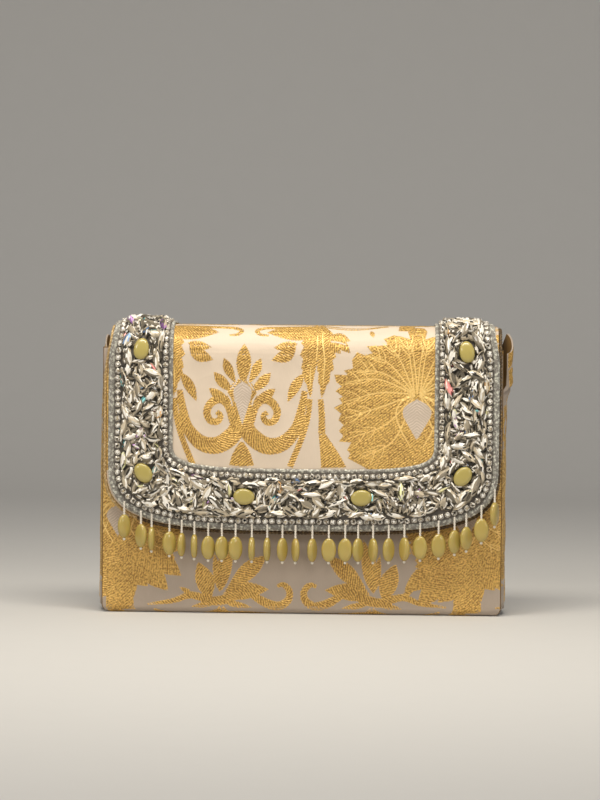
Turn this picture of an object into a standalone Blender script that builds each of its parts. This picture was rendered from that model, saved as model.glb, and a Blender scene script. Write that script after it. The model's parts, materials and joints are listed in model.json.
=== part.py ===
"""Flap clutch in woven brocade, with a crystal border on its flap and a fringe of hanging bead drops.

Metres, +Z up, front towards -Y. The origin is the centre of the flat base.
The bag is stiff: boards wrapped in one folded sheet of brocade, a sewn-in lining and two side gussets.
The flap is hinged along the top of the back, closes over the front and holds on a magnetic snap.
Its layers and its border are cut flat and bent over the top, so they are drawn in flat coordinates:
x across, t up the cloth from the base line, and h out from the face of the flap.
"""

import math
import random

import bmesh
import bpy
from mathutils import Matrix, Vector

# What lies between two pieces that touch on the real object
CLEARANCE = 0.0003

# The stiff bag
BODY_WIDTH = 0.2184
BODY_DEPTH = 0.0440
HINGE_HEIGHT = 0.1424
FRONT_RISE = 0.0030
BASE_FOLD_RADIUS = 0.0038
BOTTOM_CORNER_RADIUS = 0.0045
COVER_THICKNESS = 0.0008
BOARD_THICKNESS = 0.0020
BOARD_EDGE_INSET = 0.0010
LINING_THICKNESS = 0.0006
LINING_TOP_DROP = 0.0020

# The side gussets, which bow outwards and flare into an ear at the top
GUSSET_THICKNESS = 0.0008
GUSSET_SEAM_INSET = 0.0032
GUSSET_BOW = 0.0016
EAR_BOW = 0.0034
EAR_RISE = 0.0085
GUSSET_BOW_EXPONENT = 3.0

# The flap
FLAP_WIDTH = 0.2134
FLAP_TOP_RADIUS = 0.0160
FLAP_LOWER_EDGE = 0.0464
FLAP_CORNER_RISE = 0.0410
FLAP_CORNER_EXPONENT = 3.7
FLAP_BOARD_THICKNESS = 0.0020
FLAP_BOARD_INSET = 0.0015
PIPING_RADIUS = 0.0008

# The crystal border
BORDER_WIDTH = 0.0354
BORDER_SHIFT = 0.0008
WINDOW_CORNER_RISE = 0.0160
WINDOW_CORNER_EXPONENT = 4.0
BORDER_START = 0.0120
ARM_LEAN = 0.0026
ARM_LEAN_DROP = 0.0050
BRAID_WIDTH = 0.0034
INNER_BRAID_WIDTH = 0.0024
BRAID_THICKNESS = 0.0018
TAPE_THICKNESS = 0.0010
CHAIN_WIDTH = 0.0030
INNER_CHAIN_WIDTH = 0.0026
CUP_HEIGHT = 0.0012
ROUND_STONE_HEIGHT = 0.0008
ROUND_STONE_PITCH = 0.0038
INNER_STONE_PITCH = 0.0034
CRYSTAL_LENGTH = 0.0096
CRYSTAL_WIDTH = 0.0040
CRYSTAL_HEIGHT = 0.0026
CRYSTAL_GAP = 0.0001
CRYSTAL_SINK = 0.0003
CRYSTAL_TRIES = 6000
CABOCHON_SHIFT = 0.0010
CABOCHON_LENGTH = 0.0126
CABOCHON_WIDTH = 0.0090
CABOCHON_HEIGHT = 0.0038
TOP_CABOCHON_RISE = 0.0020
LOWER_CABOCHON_SPREAD = 0.0320

# The bead drops
FIRST_DROP_INSET = 0.0094
LAST_DROP_INSET = 0.0022
THREAD_RADIUS = 0.0005
THREAD_LENGTH = 0.0066
BEAD_HEIGHT = 0.0130
BEAD_WIDTH = 0.0080
BEAD_THICKNESS = 0.0037
SEED_RADIUS = 0.0007
BEAD_SPANS = 5
# How far each drop hangs from its even place, in parts of the pitch, and how far its bead has turned
DROPS = (
    (0.00, 43), (0.14, -43), (-0.14, 88), (0.07, 32), (-0.10, 78), (-0.24, 88), (-0.30, 32),
    (-0.38, 36), (-0.45, 30), (-0.35, 88), (-0.31, 82), (-0.28, 59), (-0.40, -71), (-0.26, 64),
    (-0.15, 0), (-0.04, -13), (-0.17, 53), (-0.16, -64), (-0.11, 48), (-0.05, -56), (0.01, -13),
    (0.25, 13), (0.32, 43), (0.11, 48), (0.12, 0), (0.00, 67),
)

# The magnetic snap
SNAP_RADIUS = 0.0070
SNAP_WALL = 0.0004
SNAP_PLATE_THICKNESS = 0.0005
MAGNET_THICKNESS = 0.0010
STUD_PLATE_THICKNESS = 0.0008
STUD_RADIUS = 0.0016
STUD_LENGTH = 0.0016
SNAP_HOLE_RADIUS = 0.0028
LEG_SPREAD = 0.0034
LEG_WIDTH = 0.0030
LEG_THICKNESS = 0.0006
WASHER_THICKNESS = 0.0004
WASHER_RADIUS = 0.0058
FOOT_LENGTH = 0.0016
FOOT_THICKNESS = 0.0004

ARC_STEPS = 5
CORNER_STEPS = 6
TURNED_STEPS = 12
DROP_STEPS = 8

# Heights above the face of the flap, from the layers under it
SOCKET_HEIGHT = SNAP_PLATE_THICKNESS + MAGNET_THICKNESS + SNAP_WALL + 2 * CLEARANCE
FLAP_GAP = SOCKET_HEIGHT + STUD_PLATE_THICKNESS + 3 * CLEARANCE
FLAP_BOARD_FACE = -(COVER_THICKNESS + CLEARANCE)
FLAP_LINING_FACE = FLAP_BOARD_FACE - FLAP_BOARD_THICKNESS - CLEARANCE
FLAP_THICKNESS = LINING_THICKNESS - FLAP_LINING_FACE
PIPING_HEIGHT = -FLAP_THICKNESS / 2
WASHER_SEAT = 2 * CLEARANCE + WASHER_THICKNESS + FOOT_THICKNESS
TAPE_FACE = CLEARANCE + TAPE_THICKNESS
BRAID_FACE = CLEARANCE + BRAID_THICKNESS

# Where the layers of the bag lie
FRONT_HEIGHT = HINGE_HEIGHT + FRONT_RISE
BOARD_OUT = BODY_DEPTH / 2 - COVER_THICKNESS - CLEARANCE
BOARD_IN = BOARD_OUT - BOARD_THICKNESS
LINING_OUT = BOARD_IN - CLEARANCE
BASE_BOARD_TOP = COVER_THICKNESS + CLEARANCE + BOARD_THICKNESS
FLOOR_HEIGHT = BASE_BOARD_TOP + CLEARANCE
LINING_TOP = HINGE_HEIGHT - LINING_TOP_DROP
SEAM_X = BODY_WIDTH / 2 - GUSSET_SEAM_INSET

# Where the flap lies: its face, and the lengths of cloth up its front and over its top
FLAP_FACE = BODY_DEPTH / 2 + FLAP_GAP + FLAP_THICKNESS
TOP_FLAT = FLAP_FACE + BODY_DEPTH / 2 - 2 * FLAP_TOP_RADIUS
QUARTER_TURN = FLAP_TOP_RADIUS * math.pi / 2
TOP_START = HINGE_HEIGHT + QUARTER_TURN
BACK_ARC_START = TOP_START + TOP_FLAT
HINGE_T = BACK_ARC_START + QUARTER_TURN

# The border's own lines
WINDOW_HALF_WIDTH = FLAP_WIDTH / 2 - BORDER_WIDTH
WINDOW_LOWER_EDGE = FLAP_LOWER_EDGE + BORDER_WIDTH - 0.0014
BORDER_TOP_T = HINGE_T - BORDER_START
TAPE_INSET = BRAID_WIDTH + CLEARANCE
CHAIN_INSET = TAPE_INSET + CHAIN_WIDTH / 2
FIELD_INSET = CHAIN_INSET + CHAIN_WIDTH / 2 + CLEARANCE
INNER_TAPE_INSET = INNER_BRAID_WIDTH + CLEARANCE
INNER_CHAIN_INSET = INNER_TAPE_INSET + INNER_CHAIN_WIDTH / 2
INNER_FIELD_INSET = INNER_CHAIN_INSET + INNER_CHAIN_WIDTH / 2 + CLEARANCE
ARM_CENTRE = FLAP_WIDTH / 2 - BORDER_WIDTH / 2
SNAP_HEIGHT = FLAP_LOWER_EDGE + BORDER_WIDTH / 2
DROP_TOP_INSET = TAPE_INSET - CLEARANCE - THREAD_RADIUS

FABRIC_ROUGH = 0.75
COLOURS = {
    "brocade": ((0.80, 0.62, 0.36, 1.0), FABRIC_ROUGH, 0.0),
    "board": ((0.52, 0.44, 0.34, 1.0), 0.90, 0.0),
    "lining": ((0.72, 0.60, 0.38, 1.0), 0.55, 0.0),
    "silver_thread": ((0.66, 0.63, 0.56, 1.0), 0.35, 0.8),
    "crystal": ((0.86, 0.85, 0.80, 1.0), 0.08, 0.3),
    "yellow_bead": ((0.60, 0.48, 0.14, 1.0), 0.30, 0.0),
    "snap_metal": ((0.80, 0.62, 0.30, 1.0), 0.25, 1.0),
    "magnet": ((0.28, 0.28, 0.29, 1.0), 0.45, 0.9),
}


def clear_scene():
    for obj in list(bpy.data.objects):
        bpy.data.objects.remove(obj, do_unlink=True)


def new_collection(name, hidden=False):
    collection = bpy.data.collections.new(name)
    bpy.context.scene.collection.children.link(collection)
    collection.hide_render = hidden
    return collection


def new_material(name):
    colour, roughness, metallic = COLOURS[name]
    material = bpy.data.materials.new(name)
    material.use_nodes = True
    shader = material.node_tree.nodes["Principled BSDF"]
    shader.inputs["Base Color"].default_value = colour
    shader.inputs["Roughness"].default_value = roughness
    shader.inputs["Metallic"].default_value = metallic
    material.diffuse_color = colour
    return material


def link(obj, collection, material=None):
    for old in list(obj.users_collection):
        old.objects.unlink(obj)
    collection.objects.link(obj)
    if material is not None:
        obj.data.materials.clear()
        obj.data.materials.append(material)
    return obj


def hide_helper(obj):
    obj.hide_render = True
    obj.display_type = "WIRE"
    return link(obj, HELPERS)


def object_from_bmesh(bm, name):
    mesh = bpy.data.meshes.new(name)
    bm.to_mesh(mesh)
    bm.free()
    obj = bpy.data.objects.new(name, mesh)
    bpy.context.scene.collection.objects.link(obj)
    return obj


def baked(obj, name):
    """A mesh object with the evaluated shape of obj, which is removed."""
    bpy.context.view_layer.update()
    graph = bpy.context.evaluated_depsgraph_get()
    mesh = bpy.data.meshes.new_from_object(obj.evaluated_get(graph))
    matrix = obj.matrix_world.copy()
    bpy.data.objects.remove(obj, do_unlink=True)
    weld = bmesh.new()
    weld.from_mesh(mesh)
    bmesh.ops.remove_doubles(weld, verts=weld.verts, dist=1e-6)
    bmesh.ops.recalc_face_normals(weld, faces=weld.faces)
    weld.to_mesh(mesh)
    weld.free()
    mesh.name = name
    made = bpy.data.objects.new(name, mesh)
    made.matrix_world = matrix
    bpy.context.scene.collection.objects.link(made)
    return made


def combine(obj, other, operation):
    modifier = obj.modifiers.new(operation.title(), "BOOLEAN")
    modifier.operation = operation
    modifier.object = other
    modifier.solver = "EXACT"
    modifier.use_self = operation == "UNION"
    return modifier


def box(name, low, high):
    """A box from its lowest to its highest corner."""
    bm = bmesh.new()
    bmesh.ops.create_cube(bm, size=1.0)
    for vertex in bm.verts:
        vertex.co = Vector(
            (high[i] + low[i]) / 2 + vertex.co[i] * (high[i] - low[i]) for i in range(3)
        )
    return object_from_bmesh(bm, name)


def flat_outline(name, points, half_thickness):
    """A filled 2D curve round the points, as thick as twice half_thickness, in its own XY plane."""
    curve = bpy.data.curves.new(name, "CURVE")
    curve.dimensions = "2D"
    curve.fill_mode = "BOTH"
    curve.extrude = half_thickness
    spline = curve.splines.new("POLY")
    spline.points.add(len(points) - 1)
    for point, (x, y) in zip(spline.points, points):
        point.co = (x, y, 0.0, 1.0)
    spline.use_cyclic_u = True
    obj = bpy.data.objects.new(name, curve)
    bpy.context.scene.collection.objects.link(obj)
    return obj


def arc(centre, radius, start, end, steps):
    """Points from one angle to another round a centre, both ends included."""
    angles = [start + (end - start) * i / steps for i in range(steps + 1)]
    return [(centre[0] + radius * math.cos(a), centre[1] + radius * math.sin(a)) for a in angles]


def turned(name, profile, steps=TURNED_STEPS):
    """A turned piece about Z. The profile is a ring of (radius, z), down its outer side first."""
    bm = bmesh.new()
    ring = [bm.verts.new((radius, 0.0, z)) for radius, z in profile]
    for a, b in zip(ring, ring[1:] + ring[:1]):
        if max(a.co.x, b.co.x) > 0.0:
            bm.edges.new((a, b))
    obj = object_from_bmesh(bm, name)
    screw = obj.modifiers.new("Screw", "SCREW")
    screw.axis = "Z"
    screw.angle = 2 * math.pi
    screw.steps = screw.render_steps = steps
    screw.use_merge_vertices = True
    screw.merge_threshold = 1e-6
    screw.use_smooth_shade = True
    return obj


# The bag


def folded_wrap_outline(outset, thickness, front_top, back_top):
    """The section of a sheet folded up the front, under the base and up the back, as (y, z) points."""
    half = BODY_DEPTH / 2 - outset
    radius = BASE_FOLD_RADIUS - outset
    centre = half - radius
    low = outset + radius
    inner = radius - thickness
    outside = arc((-centre, low), radius, math.pi, 1.5 * math.pi, ARC_STEPS)
    outside += arc((centre, low), radius, 1.5 * math.pi, 2 * math.pi, ARC_STEPS)
    inside = arc((centre, low), inner, 2 * math.pi, 1.5 * math.pi, ARC_STEPS)
    inside += arc((-centre, low), inner, 1.5 * math.pi, math.pi, ARC_STEPS)
    return [
        (-half, front_top),
        *outside,
        (half, back_top),
        (half - thickness, back_top),
        *inside,
        (thickness - half, front_top),
    ]


def corner_prism(name):
    """What the brocade wrap is trimmed to, seen from the front: a panel with rounded lower corners."""
    half = BODY_WIDTH / 2
    r = BOTTOM_CORNER_RADIUS
    points = arc((-half + r, r), r, math.pi, 1.5 * math.pi, ARC_STEPS)
    points += arc((half - r, r), r, 1.5 * math.pi, 2 * math.pi, ARC_STEPS)
    points += [(half, 2 * HINGE_HEIGHT), (-half, 2 * HINGE_HEIGHT)]
    prism = flat_outline(name, points, BODY_DEPTH)
    prism.rotation_euler = (math.pi / 2, 0.0, 0.0)
    return hide_helper(baked(prism, name))


def make_body_cover(material):
    outline = folded_wrap_outline(0.0, COVER_THICKNESS, FRONT_HEIGHT, HINGE_HEIGHT - CLEARANCE / 2)
    # Local X, Y and Z of the outline become Y, Z and X
    wrap = flat_outline("body_cover", outline, BODY_WIDTH / 2 + BOARD_EDGE_INSET)
    wrap.rotation_euler = (math.pi / 2, 0.0, math.pi / 2)
    cover = baked(wrap, "body_cover")
    combine(cover, corner_prism("bottom_corner_prism"), "INTERSECT")
    cut_leg_slots(cover, -BODY_DEPTH / 2)
    return link(cover, BAG, material)


def make_boards(material):
    half = BODY_WIDTH / 2 - BOARD_EDGE_INSET
    low = BASE_FOLD_RADIUS + CLEARANCE
    base_half = SEAM_X - CLEARANCE
    base_reach = BODY_DEPTH / 2 - BASE_FOLD_RADIUS
    top = FRONT_HEIGHT - BOARD_EDGE_INSET
    back_top = HINGE_HEIGHT - BOARD_EDGE_INSET
    front = box("front_board", (-half, -BOARD_OUT, low), (half, -BOARD_IN, top))
    cut_leg_slots(front, -BOARD_OUT)
    cut_washer_seat(front, -BOARD_IN, 1)
    back = box("back_board", (-half, BOARD_IN, low), (half, BOARD_OUT, back_top))
    base = box(
        "base_board",
        (-base_half, -base_reach, COVER_THICKNESS + CLEARANCE),
        (base_half, base_reach, BASE_BOARD_TOP),
    )
    return [link(obj, BAG, material) for obj in (front, back, base)]


def make_lining(material):
    """The sewn lining: an open-topped bag of thin cloth."""
    half = SEAM_X - 2 * CLEARANCE
    lining = box("lining", (-half, -LINING_OUT, FLOOR_HEIGHT), (half, LINING_OUT, LINING_TOP))
    bm = bmesh.new()
    bm.from_mesh(lining.data)
    lid = [face for face in bm.faces if face.normal.z > 0.5]
    bmesh.ops.delete(bm, geom=lid, context="FACES_ONLY")
    bm.to_mesh(lining.data)
    bm.free()
    shell = lining.modifiers.new("Cloth", "SOLIDIFY")
    shell.thickness = LINING_THICKNESS
    shell.offset = -1.0
    shell.use_even_offset = True
    return link(lining, BAG, material)


def make_gusset(side, name, material):
    """One side wall of soft cloth, from the front seam to the back seam, bowed outwards."""
    rows = 5
    columns = 8
    seam_y = LINING_OUT
    bm = bmesh.new()
    grid = []
    for i in range(rows + 1):
        up = i / rows
        bow = GUSSET_SEAM_INSET + GUSSET_BOW + (EAR_BOW - GUSSET_BOW) * up**5
        line = []
        for j in range(columns + 1):
            across = math.sin((j / columns - 0.5) * math.pi)
            rim = FRONT_HEIGHT + (LINING_TOP - FRONT_HEIGHT) * (1 + across) / 2
            top = rim + EAR_RISE * (1 - across**2)
            fullness = (1 - abs(across) ** GUSSET_BOW_EXPONENT) ** 0.5
            z = FLOOR_HEIGHT + (top - FLOOR_HEIGHT) * up
            line.append(bm.verts.new((side * (SEAM_X + bow * fullness), across * seam_y, z)))
        grid.append(line)
    for low, high in zip(grid, grid[1:]):
        for j in range(columns):
            corners = (low[j], low[j + 1], high[j + 1], high[j])
            bm.faces.new(corners if side > 0 else corners[::-1])
    gusset = object_from_bmesh(bm, name)
    shell = gusset.modifiers.new("Cloth", "SOLIDIFY")
    shell.thickness = GUSSET_THICKNESS
    shell.offset = -1.0
    shell.use_even_offset = True
    gusset.data.shade_smooth()
    return link(gusset, BAG, material)


# The flap's flat pattern and how it is bent over the top


def bend(x, t, h):
    """Where a point of the flat pattern lies: x across, t up the cloth and h out from the flap's face."""
    radius = FLAP_TOP_RADIUS + h
    front_centre = FLAP_TOP_RADIUS - FLAP_FACE
    back_centre = BODY_DEPTH / 2 - FLAP_TOP_RADIUS
    if t <= HINGE_HEIGHT:
        return Vector((x, -FLAP_FACE - h, t))
    if t <= TOP_START:
        turn = (t - HINGE_HEIGHT) / FLAP_TOP_RADIUS
        return Vector((x, front_centre - radius * math.cos(turn), HINGE_HEIGHT + radius * math.sin(turn)))
    if t <= BACK_ARC_START:
        return Vector((x, front_centre + t - TOP_START, HINGE_HEIGHT + radius))
    turn = (t - BACK_ARC_START) / FLAP_TOP_RADIUS
    return Vector((x, back_centre + radius * math.sin(turn), HINGE_HEIGHT + radius * math.cos(turn)))


def fold_lines():
    """The values of t where flat pieces are divided, so that they can bend."""
    turn = [QUARTER_TURN * i / ARC_STEPS for i in range(ARC_STEPS + 1)]
    return [HINGE_HEIGHT + t for t in turn] + [BACK_ARC_START + t for t in turn[:-1]]


def bend_mesh(obj):
    """Divides a flat solid along the fold lines and bends it over the top of the bag."""
    bm = bmesh.new()
    bm.from_mesh(obj.data)
    for t in fold_lines():
        bmesh.ops.bisect_plane(
            bm,
            geom=bm.verts[:] + bm.edges[:] + bm.faces[:],
            dist=1e-6,
            plane_co=(0.0, t, 0.0),
            plane_no=(0.0, 1.0, 0.0),
        )
    for vertex in bm.verts:
        vertex.co = bend(*vertex.co)
    bmesh.ops.recalc_face_normals(bm, faces=bm.faces)
    bm.to_mesh(obj.data)
    bm.free()
    return obj


def lower_edge(half_width, low, rise, exponent, inset=0.0):
    """The lower edge of a panel and its round corners, left to right, as (x, t) points."""
    a = half_width - inset
    b = rise - inset
    centre = low + rise
    points = []
    for i in range(2 * CORNER_STEPS + 1):
        angle = math.pi * (1 + i / (2 * CORNER_STEPS))
        c, s = math.cos(angle), math.sin(angle)
        x = math.copysign(abs(c) ** (2 / exponent), c) * a
        points.append((x, centre - b * abs(s) ** (2 / exponent)))
    return points


def flap_edge(inset):
    return lower_edge(
        FLAP_WIDTH / 2, FLAP_LOWER_EDGE, FLAP_CORNER_RISE, FLAP_CORNER_EXPONENT, inset
    )


def window_edge(outset):
    return lower_edge(
        WINDOW_HALF_WIDTH, WINDOW_LOWER_EDGE, WINDOW_CORNER_RISE, WINDOW_CORNER_EXPONENT, -outset
    )


def with_arms(edge, top):
    return [(edge[0][0], top), *edge, (edge[-1][0], top)]


def bent_layer(name, points, low, high):
    """A flat piece cut to an outline of (x, t), from height low to height high, bent over the top."""
    flat = flat_outline(name, points, (high - low) / 2)
    flat.location.z = (high + low) / 2
    layer = baked(flat, name)
    layer.data.transform(layer.matrix_world)
    layer.matrix_world.identity()
    return bend_mesh(layer)


def make_flap_layers(materials):
    start = HINGE_T - CLEARANCE / 2
    inner_start = HINGE_T - 4 * CLEARANCE
    cover = bent_layer("flap_cover", with_arms(flap_edge(0.0), start), -COVER_THICKNESS, 0.0)
    board = bent_layer(
        "flap_board",
        with_arms(flap_edge(FLAP_BOARD_INSET), inner_start),
        FLAP_BOARD_FACE - FLAP_BOARD_THICKNESS,
        FLAP_BOARD_FACE,
    )
    cloth = bent_layer(
        "flap_lining",
        with_arms(flap_edge(CLEARANCE), inner_start),
        FLAP_LINING_FACE - LINING_THICKNESS,
        FLAP_LINING_FACE,
    )
    cut_leg_slots(board, -FLAP_FACE)
    cut_washer_seat(board, -FLAP_FACE - FLAP_BOARD_FACE, -1)
    cut_leg_slots(cloth, -FLAP_FACE)
    link(cover, FLAP, materials["brocade"])
    link(board, FLAP, materials["board"])
    link(cloth, FLAP, materials["lining"])


# The crystal border


def arm_points(t_low, t_high):
    """The values of t up a border arm where its path turns."""
    return [t for t in fold_lines() if t_low < t < t_high] + [t_high]


def border_path(edge, top=BORDER_TOP_T):
    """A path up one arm, round the lower edge and up the other, with points where it bends."""
    left = edge[0]
    right = edge[-1]
    climb = arm_points(left[1], top)
    down = [(left[0], t) for t in reversed(climb)]
    return down + edge + [(right[0], t) for t in climb]


def link_to_border(obj, material):
    """The whole border sits a little to one side of the flap."""
    obj.parent = BORDER
    return link(obj, FLAP, material)


def bent_cord(name, path, radius, height):
    """A round cord laid along a path on the flap."""
    curve = bpy.data.curves.new(name, "CURVE")
    curve.dimensions = "3D"
    curve.bevel_depth = radius
    curve.bevel_resolution = 1
    curve.use_fill_caps = True
    spline = curve.splines.new("POLY")
    spline.points.add(len(path) - 1)
    for point, (x, t) in zip(spline.points, path):
        point.co = (*bend(x, t, height), 1.0)
    return bpy.data.objects.new(name, curve)


def make_piping(material):
    """The covered cord that binds the flap's sides and lower edge."""
    edge = flap_edge(-(PIPING_RADIUS + CLEARANCE))
    path = border_path(edge, HINGE_T - 4 * CLEARANCE)
    return link(bent_cord("flap_piping", path, PIPING_RADIUS, PIPING_HEIGHT), FLAP, material)


def make_braid(name, outer, inner, material):
    """A flat silver braid laid on the flap, between two lines of the border."""
    outline = with_arms(outer, BORDER_TOP_T) + with_arms(inner, BORDER_TOP_T)[::-1]
    return link_to_border(bent_layer(name, outline, CLEARANCE, BRAID_FACE), material)


def crystals_helper(name, places, foot):
    """Pointed oval crystals, each cut to four facets, for a Boolean union with what carries them."""
    bm = bmesh.new()
    for x, t, angle in places:
        height = CRYSTAL_HEIGHT + CRYSTAL_SINK
        made = bmesh.ops.create_cone(
            bm, cap_ends=True, segments=4, radius1=1.0, radius2=0.0, depth=height
        )
        spot = Matrix.Translation((x, t, foot + height / 2)) @ Matrix.Rotation(angle, 4, "Z")
        shape = Matrix.Diagonal((CRYSTAL_LENGTH / 2, CRYSTAL_WIDTH / 2, 1.0, 1.0))
        bmesh.ops.transform(bm, matrix=spot @ shape, verts=made["verts"])
    for vertex in bm.verts:
        vertex.co = bend(*vertex.co)
    helper = hide_helper(object_from_bmesh(bm, name))
    helper.parent = BORDER
    return helper


def stations(path, pitch):
    """Places along a path that divide it evenly, about a pitch apart, each with the path's direction."""
    runs = [math.dist(a, b) for a, b in zip(path, path[1:])]
    count = round(sum(runs) / pitch)
    places = []
    for i in range(count + 1):
        left = sum(runs) * i / count
        for (x0, t0), (x1, t1), run in zip(path, path[1:], runs):
            if left <= run + 1e-9:
                break
            left -= run
        share = left / run
        angle = math.atan2(t1 - t0, x1 - x0)
        places.append((x0 + (x1 - x0) * share, t0 + (t1 - t0) * share, angle))
    return places


def make_cup_chain(name, path, width, pitch, material):
    """A chain of round stones, each in its own metal cup, sewn along a border path."""
    places = stations(path, pitch)
    low = TAPE_FACE + CLEARANCE
    bm = bmesh.new()
    bmesh.ops.create_grid(bm, x_segments=len(places) - 1, y_segments=1, size=0.5)
    step = 1 / (len(places) - 1)
    for vertex in bm.verts:
        x, t, angle = places[round((vertex.co.x + 0.5) / step)]
        across = vertex.co.y * width
        vertex.co = (x - across * math.sin(angle), t + across * math.cos(angle), low)
    raised = bmesh.ops.extrude_face_region(bm, geom=bm.faces[:])["geom"]
    bmesh.ops.translate(
        bm,
        verts=[part for part in raised if isinstance(part, bmesh.types.BMVert)],
        vec=(0.0, 0.0, CUP_HEIGHT),
    )
    cups = [part for part in raised if isinstance(part, bmesh.types.BMFace)]
    bm.normal_update()
    bmesh.ops.poke(bm, faces=cups, offset=ROUND_STONE_HEIGHT)
    for vertex in bm.verts:
        vertex.co = bend(*vertex.co)
    bmesh.ops.recalc_face_normals(bm, faces=bm.faces)
    return link_to_border(object_from_bmesh(bm, name), material)


def within(x, t, half_width, low, rise, exponent):
    """Whether a point is inside a panel with round lower corners."""
    if t >= low + rise:
        return abs(x) < half_width
    return abs(x / half_width) ** exponent + ((low + rise - t) / rise) ** exponent < 1


def in_field(x, t, margin):
    """Whether a disc of that radius fits in the part of the border that crystals fill."""
    m = FIELD_INSET + margin
    n = INNER_FIELD_INSET + margin
    inside = within(
        x, t, FLAP_WIDTH / 2 - m, FLAP_LOWER_EDGE + m, FLAP_CORNER_RISE - m, FLAP_CORNER_EXPONENT
    )
    in_window = within(
        x,
        t,
        WINDOW_HALF_WIDTH + n,
        WINDOW_LOWER_EDGE - n,
        WINDOW_CORNER_RISE + n,
        WINDOW_CORNER_EXPONENT,
    )
    return inside and not in_window and t < BORDER_TOP_T - margin - CRYSTAL_SINK


def cabochon_places():
    """Name, x, t and angle of the six oval stones."""
    top_t = HINGE_HEIGHT + TOP_CABOCHON_RISE
    corner_t = WINDOW_LOWER_EDGE - CABOCHON_WIDTH / 3
    lower_t = FLAP_LOWER_EDGE + BORDER_WIDTH / 2 + CABOCHON_SHIFT
    corner_x = ARM_CENTRE - 2 * CABOCHON_SHIFT
    places = []
    for side, word in ((-1, "left"), (1, "right")):
        places.append((f"cabochon_{word}_top", side * ARM_CENTRE, top_t, math.pi / 2))
        places.append((f"cabochon_{word}_corner", side * corner_x, corner_t, side * math.pi * 0.28))
        places.append((f"cabochon_{word}_lower", side * LOWER_CABOCHON_SPREAD, lower_t, side * 0.1))
    return places


def oval_discs(x, t, angle, length, width, parts):
    """Discs that fill a long stone: parts holds each one's place and radius, as shares of its sizes."""
    c, s = math.cos(angle), math.sin(angle)
    return [(x + u * length * c, t + u * length * s, r * width) for u, r in parts]


def crystal_places():
    """Scatters the pointed crystals over the field, none of them over another or over a cabochon."""
    pointed = [(-0.38, 0.10), (-0.20, 0.26), (0.0, 0.42), (0.20, 0.26), (0.38, 0.10)]
    oval = [(-0.16, 0.48), (0.0, 0.50), (0.16, 0.48)]
    taken = []
    for _, x, t, angle in cabochon_places():
        taken.append(oval_discs(x, t, angle, CABOCHON_LENGTH, CABOCHON_WIDTH, oval))
    dice = random.Random(11)
    places = []
    for _ in range(CRYSTAL_TRIES):
        x = dice.uniform(-FLAP_WIDTH / 2, FLAP_WIDTH / 2)
        t = dice.uniform(FLAP_LOWER_EDGE, BORDER_TOP_T)
        angle = dice.uniform(0.0, math.pi)
        discs = oval_discs(x, t, angle, CRYSTAL_LENGTH, CRYSTAL_WIDTH, pointed)
        if not all(in_field(u, v, r) for u, v, r in discs):
            continue
        near = [other for other in taken if math.dist(other[len(other) // 2][:2], (x, t)) < 2 * CABOCHON_LENGTH]
        if all(
            math.hypot(u - p, v - q) > r + o + CRYSTAL_GAP
            for u, v, r in discs
            for other in near
            for p, q, o in other
        ):
            taken.append(discs)
            places.append((x, t, angle))
    return places


def make_crystal_band(material):
    """The backing tape of the border with its pointed crystals sewn on."""
    outer = flap_edge(TAPE_INSET)
    inner = window_edge(INNER_TAPE_INSET)
    outline = with_arms(outer, BORDER_TOP_T) + with_arms(inner, BORDER_TOP_T)[::-1]
    band = bent_layer("crystal_band", outline, CLEARANCE, TAPE_FACE)
    stones = crystals_helper("crystals", crystal_places(), TAPE_FACE - CRYSTAL_SINK)
    combine(band, stones, "UNION")
    return link_to_border(band, material)


def make_cabochon(name, x, t, angle, material):
    """A smooth oval stone with a flat foot, a rounded girdle and a low dome."""
    profile = [(0.0, 1.0), (0.66, 0.95), (0.93, 0.72), (1.0, 0.38), (0.8, 0.0), (0.0, 0.0)]
    cabochon = baked(turned(name, profile), name)
    spot = Matrix.Translation((x, t, TAPE_FACE + CLEARANCE)) @ Matrix.Rotation(angle, 4, "Z")
    shape = Matrix.Diagonal((CABOCHON_LENGTH / 2, CABOCHON_WIDTH / 2, CABOCHON_HEIGHT, 1.0))
    cabochon.data.transform(spot @ shape)
    for vertex in cabochon.data.vertices:
        vertex.co = bend(*vertex.co)
    cabochon.data.shade_smooth()
    return link_to_border(cabochon, material)


# The bead drops


def drop_profile():
    """Down one side of a drop: its thread, the oval of its bead and the seed bead below."""
    half = BEAD_HEIGHT / 2
    centre = -(THREAD_LENGTH + half)
    first = math.asin(2 * THREAD_RADIUS / BEAD_WIDTH)
    profile = [(0.0, THREAD_RADIUS), (THREAD_RADIUS, THREAD_RADIUS)]
    for i in range(BEAD_SPANS + 1):
        angle = first + (math.pi - 2 * first) * i / BEAD_SPANS
        profile.append((BEAD_WIDTH / 2 * math.sin(angle), centre + half * math.cos(angle)))
    low = centre - half
    return profile + [(SEED_RADIUS, low - SEED_RADIUS), (0.0, low - 2 * SEED_RADIUS)]


def drop_mesh():
    """One drop, hung from the origin. Its bead is pressed flat between two faces."""
    drop = baked(turned("bead_drop", drop_profile(), DROP_STEPS), "bead_drop")
    mesh = drop.data
    bpy.data.objects.remove(drop, do_unlink=True)
    face = BEAD_THICKNESS / 2
    for vertex in mesh.vertices:
        vertex.co.y = min(face, max(-face, vertex.co.y))
    mesh.shade_smooth()
    return mesh


def edge_height(x):
    """The t of the border's lower edge at that x."""
    edge = flap_edge(0.0)
    for (x0, t0), (x1, t1) in zip(edge, edge[1:]):
        if x0 <= x <= x1:
            return t0 + (t1 - t0) * (x - x0) / (x1 - x0)
    raise ValueError("a drop hangs outside the flap")


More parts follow.
